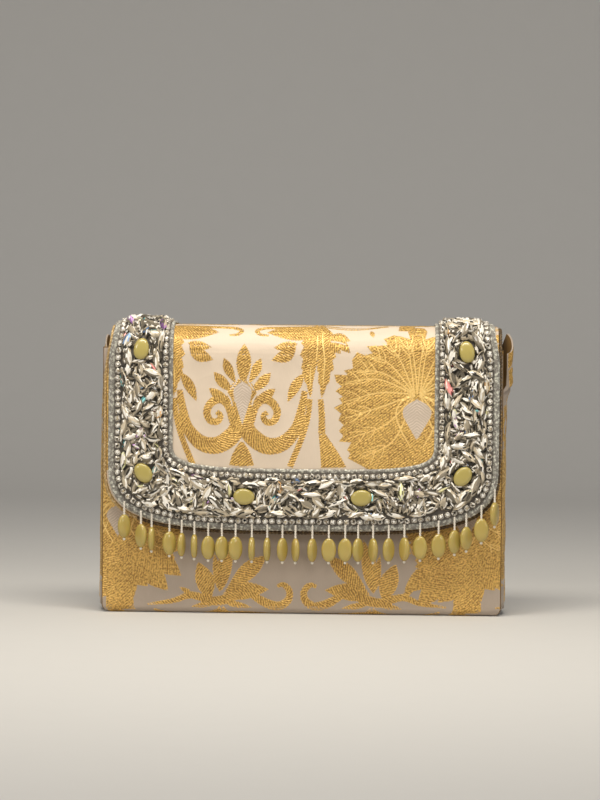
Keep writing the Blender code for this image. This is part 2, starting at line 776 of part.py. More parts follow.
def make_drops(material):
    """The fringe: each drop's origin is where it swings, in front of the outer braid's inner edge."""
    mesh = drop_mesh()
    mesh.materials.clear()
    mesh.materials.append(material)
    first = FIRST_DROP_INSET - FLAP_WIDTH / 2
    last = FLAP_WIDTH / 2 - LAST_DROP_INSET
    pitch = (last - first) / (len(DROPS) - 1)
    height = BRAID_FACE + CLEARANCE + THREAD_RADIUS
    for number, (shift, twist) in enumerate(DROPS):
        x = first + pitch * (number + shift)
        drop = bpy.data.objects.new(f"bead_drop_{number + 1:02d}", mesh)
        drop.location = bend(x, edge_height(x) + DROP_TOP_INSET, height)
        drop.rotation_euler.z = math.radians(twist)
        drop.parent = BORDER
        FLAP.objects.link(drop)


# The magnetic snap


def leg_slots_helper(name, y):
    """Two bars through a wall at y, where the snap's legs pass."""
    bm = bmesh.new()
    size = (LEG_THICKNESS + 2 * CLEARANCE, 4 * FLAP_THICKNESS, LEG_WIDTH + 2 * CLEARANCE)
    for side in (-1, 1):
        spot = Matrix.Translation((side * LEG_SPREAD, y, SNAP_HEIGHT))
        bmesh.ops.create_cube(bm, size=1.0, matrix=spot @ Matrix.Diagonal((*size, 1.0)))
    return hide_helper(object_from_bmesh(bm, name))


def cut_leg_slots(obj, y):
    combine(obj, leg_slots_helper(obj.name + "_slots", y), "DIFFERENCE")


def cut_washer_seat(obj, y, facing):
    """A round recess for the washer, in the face of a board at y that faces that way."""
    bm = bmesh.new()
    radius = WASHER_RADIUS + CLEARANCE
    bmesh.ops.create_cone(
        bm,
        cap_ends=True,
        segments=TURNED_STEPS,
        radius1=radius,
        radius2=radius,
        depth=2 * WASHER_SEAT,
    )
    seat = hide_helper(stand_up(object_from_bmesh(bm, obj.name + "_washer_seat"), y, facing))
    combine(obj, seat, "DIFFERENCE")


def stand_up(obj, y, facing):
    """Turns a piece made about Z so that its +Z points along +Y or -Y, and puts it at the snap."""
    obj.rotation_euler = (-facing * math.pi / 2, 0.0, 0.0)
    obj.location = (0.0, y, SNAP_HEIGHT)
    return obj


def bar(name, low, high):
    return hide_helper(box(name, low, high))


def legged_plate(name, profile, wall):
    """A turned plate on a wall, with two legs through the wall and their feet bent out behind it."""
    plate = baked(turned(name, profile), name)
    half = LEG_WIDTH / 2
    for side in (-1, 1):
        near = side * (LEG_SPREAD - LEG_THICKNESS / 2)
        far = side * (LEG_SPREAD + LEG_THICKNESS / 2)
        toe = side * (LEG_SPREAD + FOOT_LENGTH)
        leg = bar(name + "_leg", (min(near, far), -half, -wall), (max(near, far), half, SNAP_WALL))
        foot_top = FOOT_THICKNESS - wall
        foot = bar(name + "_foot", (min(near, toe), -half, -wall), (max(near, toe), half, foot_top))
        combine(plate, leg, "UNION")
        combine(plate, foot, "UNION")
    return baked(plate, name)


def slotted_washer(name):
    """The washer behind the wall, slotted for the two legs that are bent over it."""
    inner = LEG_SPREAD / 2
    ring = [
        (WASHER_RADIUS, WASHER_THICKNESS),
        (WASHER_RADIUS, 0.0),
        (inner, 0.0),
        (inner, WASHER_THICKNESS),
    ]
    disc = baked(turned(name, ring), name)
    reach = LEG_THICKNESS / 2 + CLEARANCE
    half = LEG_WIDTH / 2 + CLEARANCE
    for side in (-1, 1):
        x = side * LEG_SPREAD
        low = (x - reach, -half, -WASHER_THICKNESS)
        slot = bar(name + "_slot", low, (x + reach, half, 2 * WASHER_THICKNESS))
        combine(disc, slot, "DIFFERENCE")
    return baked(disc, name)


def make_snap_socket(metal, magnet_metal):
    """The half on the front of the bag: a legged plate, a ring magnet and a spun cap over it."""
    y = -BODY_DEPTH / 2 - CLEARANCE
    wall = 2 * CLEARANCE + COVER_THICKNESS + BOARD_THICKNESS
    plate = [
        (SNAP_RADIUS, SNAP_PLATE_THICKNESS),
        (SNAP_RADIUS, 0.0),
        (SNAP_HOLE_RADIUS, 0.0),
        (SNAP_HOLE_RADIUS, SNAP_PLATE_THICKNESS),
    ]
    link(stand_up(legged_plate("snap_socket", plate, wall), y, -1), BAG, metal)
    washer_y = y + wall - FOOT_THICKNESS - CLEARANCE
    link(stand_up(slotted_washer("snap_socket_washer"), washer_y, -1), BAG, metal)

    low = SNAP_PLATE_THICKNESS + CLEARANCE
    high = low + MAGNET_THICKNESS
    outside = SNAP_RADIUS - SNAP_WALL - CLEARANCE
    inside = SNAP_HOLE_RADIUS + SNAP_WALL + CLEARANCE
    ring = [(outside, high), (outside, low), (inside, low), (inside, high)]
    link(stand_up(baked(turned("snap_magnet", ring), "snap_magnet"), y, -1), BAG, magnet_metal)

    under = SOCKET_HEIGHT - SNAP_WALL
    spun = [
        (SNAP_RADIUS, SOCKET_HEIGHT),
        (SNAP_RADIUS, low),
        (SNAP_RADIUS - SNAP_WALL, low),
        (SNAP_RADIUS - SNAP_WALL, under),
        (SNAP_HOLE_RADIUS + SNAP_WALL, under),
        (SNAP_HOLE_RADIUS + SNAP_WALL, low),
        (SNAP_HOLE_RADIUS, low),
        (SNAP_HOLE_RADIUS, SOCKET_HEIGHT),
    ]
    link(stand_up(baked(turned("snap_cap", spun), "snap_cap"), y, -1), BAG, metal)


def make_snap_stud(metal):
    """The half on the underside of the flap: a legged plate with a stud that enters the socket."""
    y = -BODY_DEPTH / 2 - FLAP_GAP + CLEARANCE
    wall = 2 * CLEARANCE + LINING_THICKNESS + FLAP_BOARD_THICKNESS
    tip = STUD_PLATE_THICKNESS + STUD_LENGTH
    plate = [
        (0.0, tip),
        (STUD_RADIUS * 0.75, tip),
        (STUD_RADIUS, tip - STUD_RADIUS * 0.25),
        (STUD_RADIUS, STUD_PLATE_THICKNESS),
        (SNAP_RADIUS, STUD_PLATE_THICKNESS),
        (SNAP_RADIUS, 0.0),
        (0.0, 0.0),
    ]
    link(stand_up(legged_plate("snap_stud", plate, wall), y, 1), FLAP, metal)
    washer_y = y - wall + FOOT_THICKNESS + CLEARANCE
    link(stand_up(slotted_washer("snap_stud_washer"), washer_y, 1), FLAP, metal)


def lean_in(obj):
    """Draws the border's arms inwards where they bend over the top, and leaves their inner edges in place."""
    low = HINGE_HEIGHT - ARM_LEAN_DROP
    high = HINGE_HEIGHT + FLAP_TOP_RADIUS
    for vertex in obj.data.vertices:
        x, _, z = vertex.co
        share = min(1.0, max(0.0, (z - low) / (high - low)))
        outward = max(0.0, (abs(x) - WINDOW_HALF_WIDTH) / BORDER_WIDTH)
        vertex.co.x -= math.copysign(ARM_LEAN * share**2 * (3 - 2 * share) * outward, x)


clear_scene()
BAG = new_collection("clutch_bag")
FLAP = new_collection("clutch_flap")
HELPERS = new_collection("cutters", hidden=True)
BORDER = bpy.data.objects.new("border", None)
BORDER.location.x = BORDER_SHIFT
FLAP.objects.link(BORDER)


def main():
    materials = {name: new_material(name) for name in COLOURS}
    make_body_cover(materials["brocade"])
    make_boards(materials["board"])
    make_lining(materials["lining"])
    make_gusset(-1, "gusset_left", materials["brocade"])
    make_gusset(1, "gusset_right", materials["brocade"])
    make_flap_layers(materials)
    make_piping(materials["brocade"])
    silver = materials["silver_thread"]
    make_braid("outer_braid", flap_edge(0.0), flap_edge(BRAID_WIDTH), silver)
    make_braid("inner_braid", window_edge(0.0), window_edge(INNER_BRAID_WIDTH), silver)
    outer = border_path(flap_edge(CHAIN_INSET))
    inner = border_path(window_edge(INNER_CHAIN_INSET))
    stones = materials["crystal"]
    make_cup_chain("outer_stone_chain", outer, CHAIN_WIDTH, ROUND_STONE_PITCH, stones)
    make_cup_chain("inner_stone_chain", inner, INNER_CHAIN_WIDTH, INNER_STONE_PITCH, stones)
    make_crystal_band(materials["crystal"])
    for name, x, t, angle in cabochon_places():
        make_cabochon(name, x, t, angle, materials["yellow_bead"])
    for obj in BORDER.children:
        lean_in(obj)
    make_drops(materials["yellow_bead"])
    make_snap_socket(materials["snap_metal"], materials["magnet"])
    make_snap_stud(materials["snap_metal"])


main()
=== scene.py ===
import json
import math
import random

import bmesh
import bpy
import numpy as np
from bpy.props import FloatProperty, FloatVectorProperty, IntProperty, PointerProperty
from mathutils import Matrix, Vector, kdtree
from mathutils.geometry import delaunay_2d_cdt

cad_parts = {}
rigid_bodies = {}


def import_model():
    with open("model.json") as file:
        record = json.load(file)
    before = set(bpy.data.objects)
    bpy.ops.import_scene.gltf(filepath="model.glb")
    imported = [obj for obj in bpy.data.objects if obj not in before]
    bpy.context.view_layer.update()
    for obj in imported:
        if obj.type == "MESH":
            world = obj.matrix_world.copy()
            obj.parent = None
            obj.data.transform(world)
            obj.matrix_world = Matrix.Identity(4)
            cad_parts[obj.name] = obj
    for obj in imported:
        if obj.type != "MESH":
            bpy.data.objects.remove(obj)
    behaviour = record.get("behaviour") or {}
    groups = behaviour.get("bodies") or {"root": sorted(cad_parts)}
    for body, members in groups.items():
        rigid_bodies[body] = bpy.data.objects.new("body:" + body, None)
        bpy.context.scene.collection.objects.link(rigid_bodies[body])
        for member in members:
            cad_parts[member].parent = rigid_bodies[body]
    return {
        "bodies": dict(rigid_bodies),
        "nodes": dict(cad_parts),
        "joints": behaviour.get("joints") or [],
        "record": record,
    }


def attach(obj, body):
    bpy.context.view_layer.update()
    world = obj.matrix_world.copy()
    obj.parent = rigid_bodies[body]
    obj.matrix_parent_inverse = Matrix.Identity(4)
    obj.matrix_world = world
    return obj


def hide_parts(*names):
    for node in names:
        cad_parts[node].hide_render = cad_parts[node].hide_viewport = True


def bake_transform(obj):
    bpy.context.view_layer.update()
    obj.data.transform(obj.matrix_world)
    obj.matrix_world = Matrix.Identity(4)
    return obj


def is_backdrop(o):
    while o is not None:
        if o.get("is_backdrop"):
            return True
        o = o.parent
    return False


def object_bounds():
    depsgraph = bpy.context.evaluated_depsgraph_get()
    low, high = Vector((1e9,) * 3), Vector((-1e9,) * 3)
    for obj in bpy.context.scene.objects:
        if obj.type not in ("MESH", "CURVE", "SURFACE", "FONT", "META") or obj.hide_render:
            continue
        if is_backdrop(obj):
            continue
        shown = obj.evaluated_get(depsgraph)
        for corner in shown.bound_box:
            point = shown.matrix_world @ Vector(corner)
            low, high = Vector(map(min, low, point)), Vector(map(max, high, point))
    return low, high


bl_info = {
    "name": "Beaded clutch",
    "version": (1, 0, 0),
    "blender": (4, 5, 0),
    "location": "3D View > Sidebar > Clutch",
    "description": "Dresses the flap clutch: brocade, crystal border, bead drops, lining and snap",
    "category": "Object",
}

MM = 0.001
SATIN, GOLD, PALE, EYE, GRAIN, INNER, SEAM_SHADOW = range(7)
CLOTH_MATERIALS = ("satin ground", "gold figure", "pale figure", "hatched eye", "gold grain", "lining satin",
                   "seam shadow")
FOLD_STEPS = 10
FIGURE_REPEAT = 190.8  # width of one repeat of the figure, in millimetres
FLAP_CORNER, WINDOW_CORNER = 3.7, 4.0  # how square the round corners are: 2 is an ellipse
STITCH_RADIUS, STITCH_HALF, STITCH_PITCH = 0.00018, 0.0011, 0.0030


def length(name, text, default):
    return FloatProperty(name=name, description=text, default=default, unit="LENGTH", subtype="DISTANCE")


def colour(name, text, default):
    return FloatVectorProperty(
        name=name, description=text, default=default, size=3, min=0.0, max=1.0, subtype="COLOR"
    )


class ClutchSizes(bpy.types.PropertyGroup):
    """Sizes shared by the pieces, in metres. But for the gussets, they are those of the solids."""

    body_width: length("Body width", "Width of the front and the back", 0.2184)
    body_depth: length("Body depth", "From the front cloth to the back cloth", 0.0440)
    front_height: length("Front height", "Top of the front panel", 0.1454)
    hinge_height: length("Hinge height", "Top of the back, where the flap turns", 0.1424)
    base_fold: length("Base fold", "Radius of the folds beside the base", 0.0038)
    corner_radius: length("Corner radius", "Rounding of the lower corners seen from the front", 0.0045)
    seam_x: length("Seam", "Where the gussets are sewn in", 0.1060)
    lining_out: length("Lining", "Outer face of the lining, from the middle", 0.0186)
    lining_top: length("Lining top", "Upper edge of the lining", 0.1404)
    floor: length("Floor", "Underside of the lining's floor", 0.0034)
    gusset_bow: length("Gusset bow", "How far a gusset bows out low down", 0.0030)
    ear_bow: length("Ear bow", "How far its ear bows out", 0.0034)
    ear_rise: length("Ear rise", "How far its ear stands over the seams", 0.0085)
    flap_width: length("Flap width", "Width of the flap's cloth", 0.2134)
    flap_radius: length("Flap radius", "Bends at the top of the flap", 0.0160)
    flap_face: length("Flap face", "Front of the flap, from the middle", 0.0302)
    flap_low: length("Flap lower edge", "Height of the flap's lower edge", 0.0464)
    flap_rise: length("Flap corner rise", "Height of the flap's round corners", 0.0410)
    border: length("Border", "Width of the crystal border", 0.0354)
    border_shift: length("Border shift", "How far the border sits to one side", 0.0008)
    arm_lean: length("Arm lean", "How far the border's arms lean in over the top", 0.0026)
    edge_lean: length("Edge lean", "How far the flap's left edge draws in over the top", 0.0036)
    window_rise: length("Window corner rise", "Height of the border's inner corners", 0.0160)
    border_end: length("Border end", "What the border leaves free before the hinge", 0.0120)


class ClutchCloth(bpy.types.PropertyGroup):
    """The brocade and the linings."""

    relief: length("Relief", "How far the gold figure stands over the satin", 0.00022)
    pitch: length("Pitch", "Distance of the points that carry the relief", 0.0011)
    twill: length("Twill", "Distance of the gold binding lines", 0.00155)
    satin: colour("Satin", "Ground of the brocade", (0.70, 0.575, 0.445))
    # Shaded body satin: the same satin painted darker for the body and the gussets, as painted shade
    shaded_body_satin: colour("Shaded body satin", "Ground of the body's brocade", (0.425, 0.345, 0.275))
    gold: colour("Gold", "Gold thread in the light", (0.86, 0.54, 0.15))
    gold_dark: colour("Gold in shade", "Gold thread between the binding lines", (0.33, 0.175, 0.042))
    gold_light: colour("Light gold", "Veins of the figure", (0.90, 0.64, 0.24))
    lining: colour("Lining", "Satin of the lining", (0.50, 0.36, 0.16))


class ClutchBorder(bpy.types.PropertyGroup):
    """The border's braids, stones and drops."""

    outer_braid: length("Outer braid", "Width of the outer braid", 0.0036)
    inner_braid: length("Inner braid", "Width of the inner braid", 0.0024)
    outer_stone: length("Outer stones", "Diameter of the outer round stones", 0.0031)
    inner_stone: length("Inner stones", "Diameter of the inner round stones", 0.0029)
    outer_pitch: length("Outer pitch", "Distance of the outer round stones", 0.0037)
    inner_pitch: length("Inner pitch", "Distance of the inner round stones", 0.0033)
    tape: length("Tape", "Face of the tape over the flap's cloth", 0.0013)
    crystal_length: length("Crystal length", "A pointed crystal's usual length", 0.0088)
    crystal_width: length("Crystal width", "A pointed crystal's usual width", 0.0038)
    crystal_height: length("Crystal height", "A pointed crystal's height", 0.0025)
    crystal_tries: IntProperty(
        name="Crystal tries", description="Tries to place a crystal in each layer", default=26000
    )
    bead_height: length("Bead height", "Height of a flat oval bead", 0.0130)
    bead_width: length("Bead width", "Width of a flat oval bead", 0.0082)
    bead_thickness: length("Bead thickness", "Thickness of a flat oval bead", 0.0037)
    thread: length("Thread", "Free length of a drop's thread", 0.0066)
    silver: colour("Silver", "Silver thread and cups", (0.82, 0.76, 0.66))
    stone: colour("Yellow stone", "The six oval stones", (0.46, 0.37, 0.10))
    bead: colour("Yellow bead", "The beads of the fringe", (0.47, 0.35, 0.085))


def sizes():
    return bpy.context.scene.clutch_sizes


def cloth():
    return bpy.context.scene.clutch_cloth


def border():
    return bpy.context.scene.clutch_border


# Materials


def group_of(name, inputs, outputs):
    """A new shader node group with its sockets, its input node and its output node."""
    group = bpy.data.node_groups.new(name, "ShaderNodeTree")
    for socket, kind, value in inputs:
        made = group.interface.new_socket(socket, in_out="INPUT", socket_type=kind)
        made.default_value = value
    for socket, kind in outputs:
        group.interface.new_socket(socket, in_out="OUTPUT", socket_type=kind)
    return group, group.nodes.new("NodeGroupInput"), group.nodes.new("NodeGroupOutput")


def node(tree, kind, links=None, **values):
    """Adds a node, sets its values and links its inputs, each named by its socket or its number."""
    made = tree.nodes.new(kind)
    for name, value in values.items():
        setattr(made, name, value)
    for name, value in (links or {}).items():
        if isinstance(value, bpy.types.NodeSocket):
            tree.links.new(value, made.inputs[name])
        else:
            made.inputs[name].default_value = value
    return made


def maths(tree, operation, a, b=0.0, clamp=False):
    return node(tree, "ShaderNodeMath", {0: a, 1: b}, operation=operation, use_clamp=clamp).outputs[0]


def mixed(tree, share, a, b, blend="MIX"):
    made = node(tree, "ShaderNodeMix", {0: share, 6: a, 7: b}, data_type="RGBA", blend_type=blend)
    return made.outputs[2]


def rgba(value, share=1.0):
    return (*(min(1.0, c * share) for c in value), 1.0)


def weave_group():
    """Bands of gold binding lines over fine threads, from a cloth's two UV maps."""
    group, given, out = group_of(
        "Brocade weave",
        [("Light", "NodeSocketColor", (1, 1, 1, 1)), ("Dark", "NodeSocketColor", (0, 0, 0, 1)),
         ("Ground", "NodeSocketColor", (1, 1, 1, 1)), ("Twill", "NodeSocketFloat", 0.0016),
         ("Depth", "NodeSocketFloat", 1.0), ("Band", "NodeSocketFloat", 0.6),
         ("Speckle", "NodeSocketFloat", 0.75), ("Chevron", "NodeSocketFloat", 0.0)],
        [("Color", "NodeSocketColor"), ("Height", "NodeSocketFloat")],
    )
    thread = node(group, "ShaderNodeUVMap", uv_map="thread").outputs[0]
    flat = node(group, "ShaderNodeUVMap", uv_map="cloth").outputs[0]
    split = node(group, "ShaderNodeSeparateXYZ", {0: thread})
    wobble = node(group, "ShaderNodeTexNoise", {"Vector": flat, "Scale": 420.0, "Detail": 2.0})
    other = maths(group, "MULTIPLY", maths(group, "ABSOLUTE", split.outputs[1]), -1.0)
    other = maths(group, "SUBTRACT", other, split.outputs[1])
    across = maths(group, "ADD", split.outputs[1], maths(group, "MULTIPLY", other, given.outputs["Chevron"]))
    along = maths(group, "ADD", split.outputs[0], maths(group, "MULTIPLY", across, 0.75))
    along = maths(group, "ADD", along, maths(group, "MULTIPLY", wobble.outputs[0], 0.0016))
    phase = maths(group, "MULTIPLY", maths(group, "DIVIDE", along, given.outputs["Twill"]), math.tau)
    band = maths(group, "ADD", maths(group, "MULTIPLY", maths(group, "SINE", phase), 0.85), 0.55, True)
    fine = node(group, "ShaderNodeTexNoise", {"Vector": flat, "Scale": 850.0, "Detail": 3.0})
    broad = node(group, "ShaderNodeTexNoise", {"Vector": flat, "Scale": 60.0, "Detail": 2.0})
    grain = maths(group, "MULTIPLY", maths(group, "SUBTRACT", fine.outputs[0], 0.42), 3.4)
    patch = maths(group, "MULTIPLY", maths(group, "SUBTRACT", broad.outputs[0], 0.5), 0.9)
    base = maths(group, "MULTIPLY", maths(group, "SUBTRACT", 0.6, given.outputs["Band"]), 0.6)
    tone = maths(group, "ADD", base, maths(group, "MULTIPLY", band, given.outputs["Band"]))
    tone = maths(group, "ADD", tone, maths(group, "MULTIPLY", grain, given.outputs["Speckle"]))
    tone = maths(group, "ADD", tone, patch, clamp=True)
    shown = maths(group, "MULTIPLY", maths(group, "SUBTRACT", 1.0, tone), given.outputs["Depth"], True)
    colours = mixed(group, shown, given.outputs["Light"], given.outputs["Dark"])
    # Near its edge the figure frays: the ground shows between the binding lines
    edge = node(group, "ShaderNodeAttribute", attribute_name="edge").outputs["Fac"]
    bare = maths(group, "MULTIPLY", maths(group, "SUBTRACT", 0.6, edge), 1.0, True)
    gap = maths(group, "MULTIPLY", maths(group, "SUBTRACT", 0.60, tone), 5.0, True)
    colours = mixed(group, maths(group, "MULTIPLY", bare, gap), colours, given.outputs["Ground"])
    group.links.new(colours, out.inputs["Color"])
    group.links.new(maths(group, "ADD", band, maths(group, "MULTIPLY", grain, 0.7)), out.inputs["Height"])
    return group


def satin_group():
    """A satin ground: soft patches of light and fine float threads."""
    group, given, out = group_of(
        "Satin ground",
        [("Color", "NodeSocketColor", (1, 1, 1, 1)), ("Shade", "NodeSocketColor", (0, 0, 0, 1))],
        [("Color", "NodeSocketColor"), ("Height", "NodeSocketFloat")],
    )
    flat = node(group, "ShaderNodeUVMap", uv_map="cloth").outputs[0]
    long_way = node(group, "ShaderNodeMapping", {0: flat, 3: (2600.0, 260.0, 1.0)}).outputs[0]
    floats = node(group, "ShaderNodeTexNoise", {"Vector": long_way, "Scale": 1.0, "Detail": 2.0})
    broad = node(group, "ShaderNodeTexNoise", {"Vector": flat, "Scale": 28.0, "Detail": 3.0})
    share = maths(group, "MULTIPLY", maths(group, "SUBTRACT", broad.outputs[0], 0.40), 1.1)
    fine = maths(group, "MULTIPLY", maths(group, "SUBTRACT", floats.outputs[0], 0.45), 0.5)
    shown = maths(group, "ADD", share, fine, clamp=True)
    group.links.new(mixed(group, shown, given.outputs["Color"], given.outputs["Shade"]), out.inputs["Color"])
    group.links.new(floats.outputs[0], out.inputs["Height"])
    return group


def rope_group():
    """Metal thread: slanting strands with sparks of light, by the object's own coordinates."""
    group, given, out = group_of(
        "Metal thread",
        [("Light", "NodeSocketColor", (1, 1, 1, 1)), ("Dark", "NodeSocketColor", (0, 0, 0, 1)),
         ("Scale", "NodeSocketFloat", 1400.0)],
        [("Color", "NodeSocketColor"), ("Height", "NodeSocketFloat")],
    )
    place = node(group, "ShaderNodeTexCoord").outputs["Object"]
    cells = node(group, "ShaderNodeTexVoronoi", {"Vector": place, "Scale": given.outputs["Scale"]})
    fine = node(group, "ShaderNodeTexNoise", {"Vector": place, "Scale": 900.0, "Detail": 3.0})
    spark = maths(group, "MULTIPLY", maths(group, "SUBTRACT", fine.outputs[0], 0.40), 3.5, True)
    shade = maths(group, "MULTIPLY", cells.outputs["Distance"], 1.3, True)
    tone = maths(group, "ADD", maths(group, "MULTIPLY", spark, 0.75), maths(group, "SUBTRACT", 0.55, shade), True)
    group.links.new(mixed(group, tone, given.outputs["Dark"], given.outputs["Light"]), out.inputs["Color"])
    group.links.new(maths(group, "SUBTRACT", spark, cells.outputs["Distance"]), out.inputs["Height"])
    return group


def speckle_group():
    """Small uneven patches of a second tone, with a height for the bump."""
    group, given, out = group_of(
        "Speckle",
        [("Light", "NodeSocketColor", (1, 1, 1, 1)), ("Dark", "NodeSocketColor", (0, 0, 0, 1)),
         ("Scale", "NodeSocketFloat", 300.0), ("Share", "NodeSocketFloat", 0.5)],
        [("Color", "NodeSocketColor"), ("Height", "NodeSocketFloat")],
    )
    place = node(group, "ShaderNodeTexCoord").outputs["Object"]
    noise = node(group, "ShaderNodeTexNoise",
                 {"Vector": place, "Scale": given.outputs["Scale"], "Detail": 4.0})
    share = maths(group, "MULTIPLY", noise.outputs[0], given.outputs["Share"], True)
    group.links.new(mixed(group, share, given.outputs["Light"], given.outputs["Dark"]), out.inputs["Color"])
    group.links.new(noise.outputs[0], out.inputs["Height"])
    return group


def material(name, group=None, given=None, bump=0.3, depth=0.0001, **shader):
    """A Principled material. group feeds its colour and its bump, and given holds the group's inputs."""
    made = bpy.data.materials.new(name)
    made.use_nodes = True
    tree = made.node_tree
    principled = tree.nodes["Principled BSDF"]
    for socket, value in shader.items():
        principled.inputs[socket.replace("_", " ")].default_value = value
    if group is not None:
        used = node(tree, "ShaderNodeGroup", node_tree=bpy.data.node_groups[group])
        for socket, value in (given or {}).items():
            used.inputs[socket].default_value = value
        tree.links.new(used.outputs["Color"], principled.inputs["Base Color"])
        bumped = node(tree, "ShaderNodeBump",
                      {"Strength": bump, "Distance": depth, "Height": used.outputs["Height"]})
        tree.links.new(bumped.outputs[0], principled.inputs["Normal"])
    return made


def crystal_material(name, roughness, metallic):
    """Cut stone: each facet takes its tone from the mesh, painted reflections of light and dark."""
    made = bpy.data.materials.new(name)
    made.use_nodes = True
    tree = made.node_tree
    principled = tree.nodes["Principled BSDF"]
    tone = node(tree, "ShaderNodeVertexColor", layer_name="tone")
    tree.links.new(tone.outputs[0], principled.inputs["Base Color"])
    principled.inputs["Roughness"].default_value = roughness
    principled.inputs["Metallic"].default_value = metallic
    principled.inputs["Coat Weight"].default_value = 0.25
    principled.inputs["Coat Roughness"].default_value = 0.02
    return made


def make_materials():
    for build in (weave_group, satin_group, rope_group, speckle_group):
        build()
    c, b = cloth(), border()
    fabric = {"Roughness": 0.55, "Sheen_Weight": 0.15, "Sheen_Roughness": 0.4}
    material("satin ground", "Satin ground", {"Color": rgba(c.satin), "Shade": rgba(c.satin, 0.84)},
             0.15, 0.00008, Roughness=0.55, Sheen_Weight=0.15, Sheen_Roughness=0.35)
    # The same satin painted darker: painted shade on the body and the gussets
    material("body satin", "Satin ground", {"Color": rgba(c.shaded_body_satin), "Shade": rgba(c.shaded_body_satin, 0.82)},
             0.15, 0.00008, Roughness=0.42, Sheen_Weight=0.2, Sheen_Roughness=0.35)
    material("gold figure", "Brocade weave",
             {"Light": rgba(c.gold), "Dark": rgba(c.gold_dark), "Ground": rgba(c.satin), "Twill": c.twill},
             0.8, 0.00025, Roughness=0.40, Metallic=0.35)
    material("gold grain", "Brocade weave",
             {"Light": rgba(c.gold, 0.92), "Dark": rgba(c.gold_dark), "Ground": rgba(c.satin), "Twill": c.twill,
              "Band": 0.34, "Speckle": 1.0}, 0.8, 0.00025, Roughness=0.40, Metallic=0.35)
    material("pale figure", "Brocade weave",
             {"Light": rgba(c.gold_light), "Dark": rgba(c.gold), "Ground": rgba(c.gold_light),
              "Twill": c.twill, "Depth": 0.8}, 0.4, 0.00015, Roughness=0.45, Metallic=0.2)
    material("hatched eye", "Brocade weave",
             {"Light": (0.78, 0.65, 0.53, 1), "Dark": (0.25, 0.19, 0.145, 1), "Ground": rgba(c.satin),
              "Twill": 0.00160, "Band": 1.0, "Speckle": 0.05, "Chevron": 1.0}, 0.3, 0.00010, Roughness=0.45)
    material("gold cord", "Metal thread",
             {"Light": (0.86, 0.66, 0.38, 1), "Dark": (0.44, 0.29, 0.11, 1), "Scale": 900.0}, 0.5, 0.0002,
             Roughness=0.5, Metallic=0.1)
    # The gold cord painted dark: painted shade on the piping along the bottom and the right
    material("dark cord", "Metal thread",
             {"Light": (0.30, 0.20, 0.085, 1), "Dark": (0.07, 0.042, 0.018, 1), "Scale": 900.0}, 0.5, 0.0002,
             Roughness=0.6)
    material("lining satin", "Speckle",
             {"Light": rgba(c.lining), "Dark": rgba(c.lining, 0.75), "Scale": 90.0, "Share": 0.8},
             0.1, 0.0001, **fabric)
    material("stitches", "Speckle",
             {"Light": rgba(c.gold_light), "Dark": rgba(c.gold), "Scale": 900.0, "Share": 0.8},
             0.3, 0.0001, Roughness=0.6)
    material("silver thread", "Metal thread",
             {"Light": rgba(b.silver, 1.3), "Dark": rgba(b.silver, 0.34), "Scale": 560.0}, 0.8, 0.0003,
             Roughness=0.42, Metallic=0.10)
    material("pale thread", "Speckle",
             {"Light": rgba(b.silver, 1.15), "Dark": rgba(b.silver, 0.7), "Scale": 900.0, "Share": 0.7},
             0.2, 0.0001, Roughness=0.5)
    material("silver cups", "Speckle",
             {"Light": rgba(b.silver, 1.1), "Dark": rgba(b.silver, 0.55), "Scale": 500.0, "Share": 0.8},
             0.2, 0.0001, Roughness=0.30, Metallic=0.6)
    material("border tape", "Speckle",
             {"Light": (0.20, 0.175, 0.145, 1), "Dark": (0.06, 0.05, 0.042, 1), "Scale": 900.0, "Share": 0.9},
             0.5, 0.0002, Roughness=0.7)
    material("yellow stone", "Speckle",
             {"Light": rgba(b.stone), "Dark": rgba(b.stone, 0.86), "Scale": 120.0, "Share": 0.8},
             0.02, 0.0001, Roughness=0.22, Coat_Weight=0.7, Coat_Roughness=0.06)
    material("yellow bead", "Speckle",
             {"Light": rgba(b.bead), "Dark": rgba(b.bead, 0.84), "Scale": 160.0, "Share": 0.8},
             0.02, 0.0001, Roughness=0.22, Coat_Weight=0.6, Coat_Roughness=0.07,
             Subsurface_Weight=0.12, Subsurface_Scale=0.002)
    material("bag board", "Speckle",
             {"Light": (0.42, 0.34, 0.25, 1), "Dark": (0.30, 0.24, 0.17, 1), "Scale": 700.0, "Share": 0.9},
             0.4, 0.0001, Roughness=0.9)
    material("gold plate", "Speckle",
             {"Light": (0.86, 0.62, 0.28, 1), "Dark": (0.70, 0.47, 0.18, 1), "Scale": 260.0, "Share": 0.7},
             0.05, 0.0001, Roughness=0.24, Metallic=1.0)
    material("magnet", "Speckle",
             {"Light": (0.13, 0.13, 0.135, 1), "Dark": (0.07, 0.07, 0.075, 1), "Scale": 900.0, "Share": 0.9},
             0.2, 0.0001, Roughness=0.5, Metallic=0.6)
    # Dark brown for the body's edge lines and the gussets' inner faces: partly a dark seam, partly painted shadow in
    # the gaps and inside the ears
    material("seam shadow", "Speckle",
             {"Light": rgba(c.gold_dark, 0.55), "Dark": rgba(c.gold_dark, 0.35), "Scale": 400.0, "Share": 0.8},
             0.1, 0.0001, Roughness=0.9)
    crystal_material("cut crystal", 0.10, 0.0)


# Meshes


def finish_piece(obj, body, replaced=(), smooth=True):
    if smooth:
        obj.data.shade_smooth()
    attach(obj, body)
    if replaced:
        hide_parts(*replaced)
    return obj


def object_of(name, points, faces, materials, face_materials=None):
    mesh = bpy.data.meshes.new(name)
    mesh.from_pydata(points, [], faces)
    for used in materials:
        mesh.materials.append(bpy.data.materials[used])
    if face_materials is not None:
        mesh.polygons.foreach_set("material_index", face_materials)
    mesh.update()
    obj = bpy.data.objects.new(name, mesh)
    bpy.context.scene.collection.objects.link(obj)
    return obj


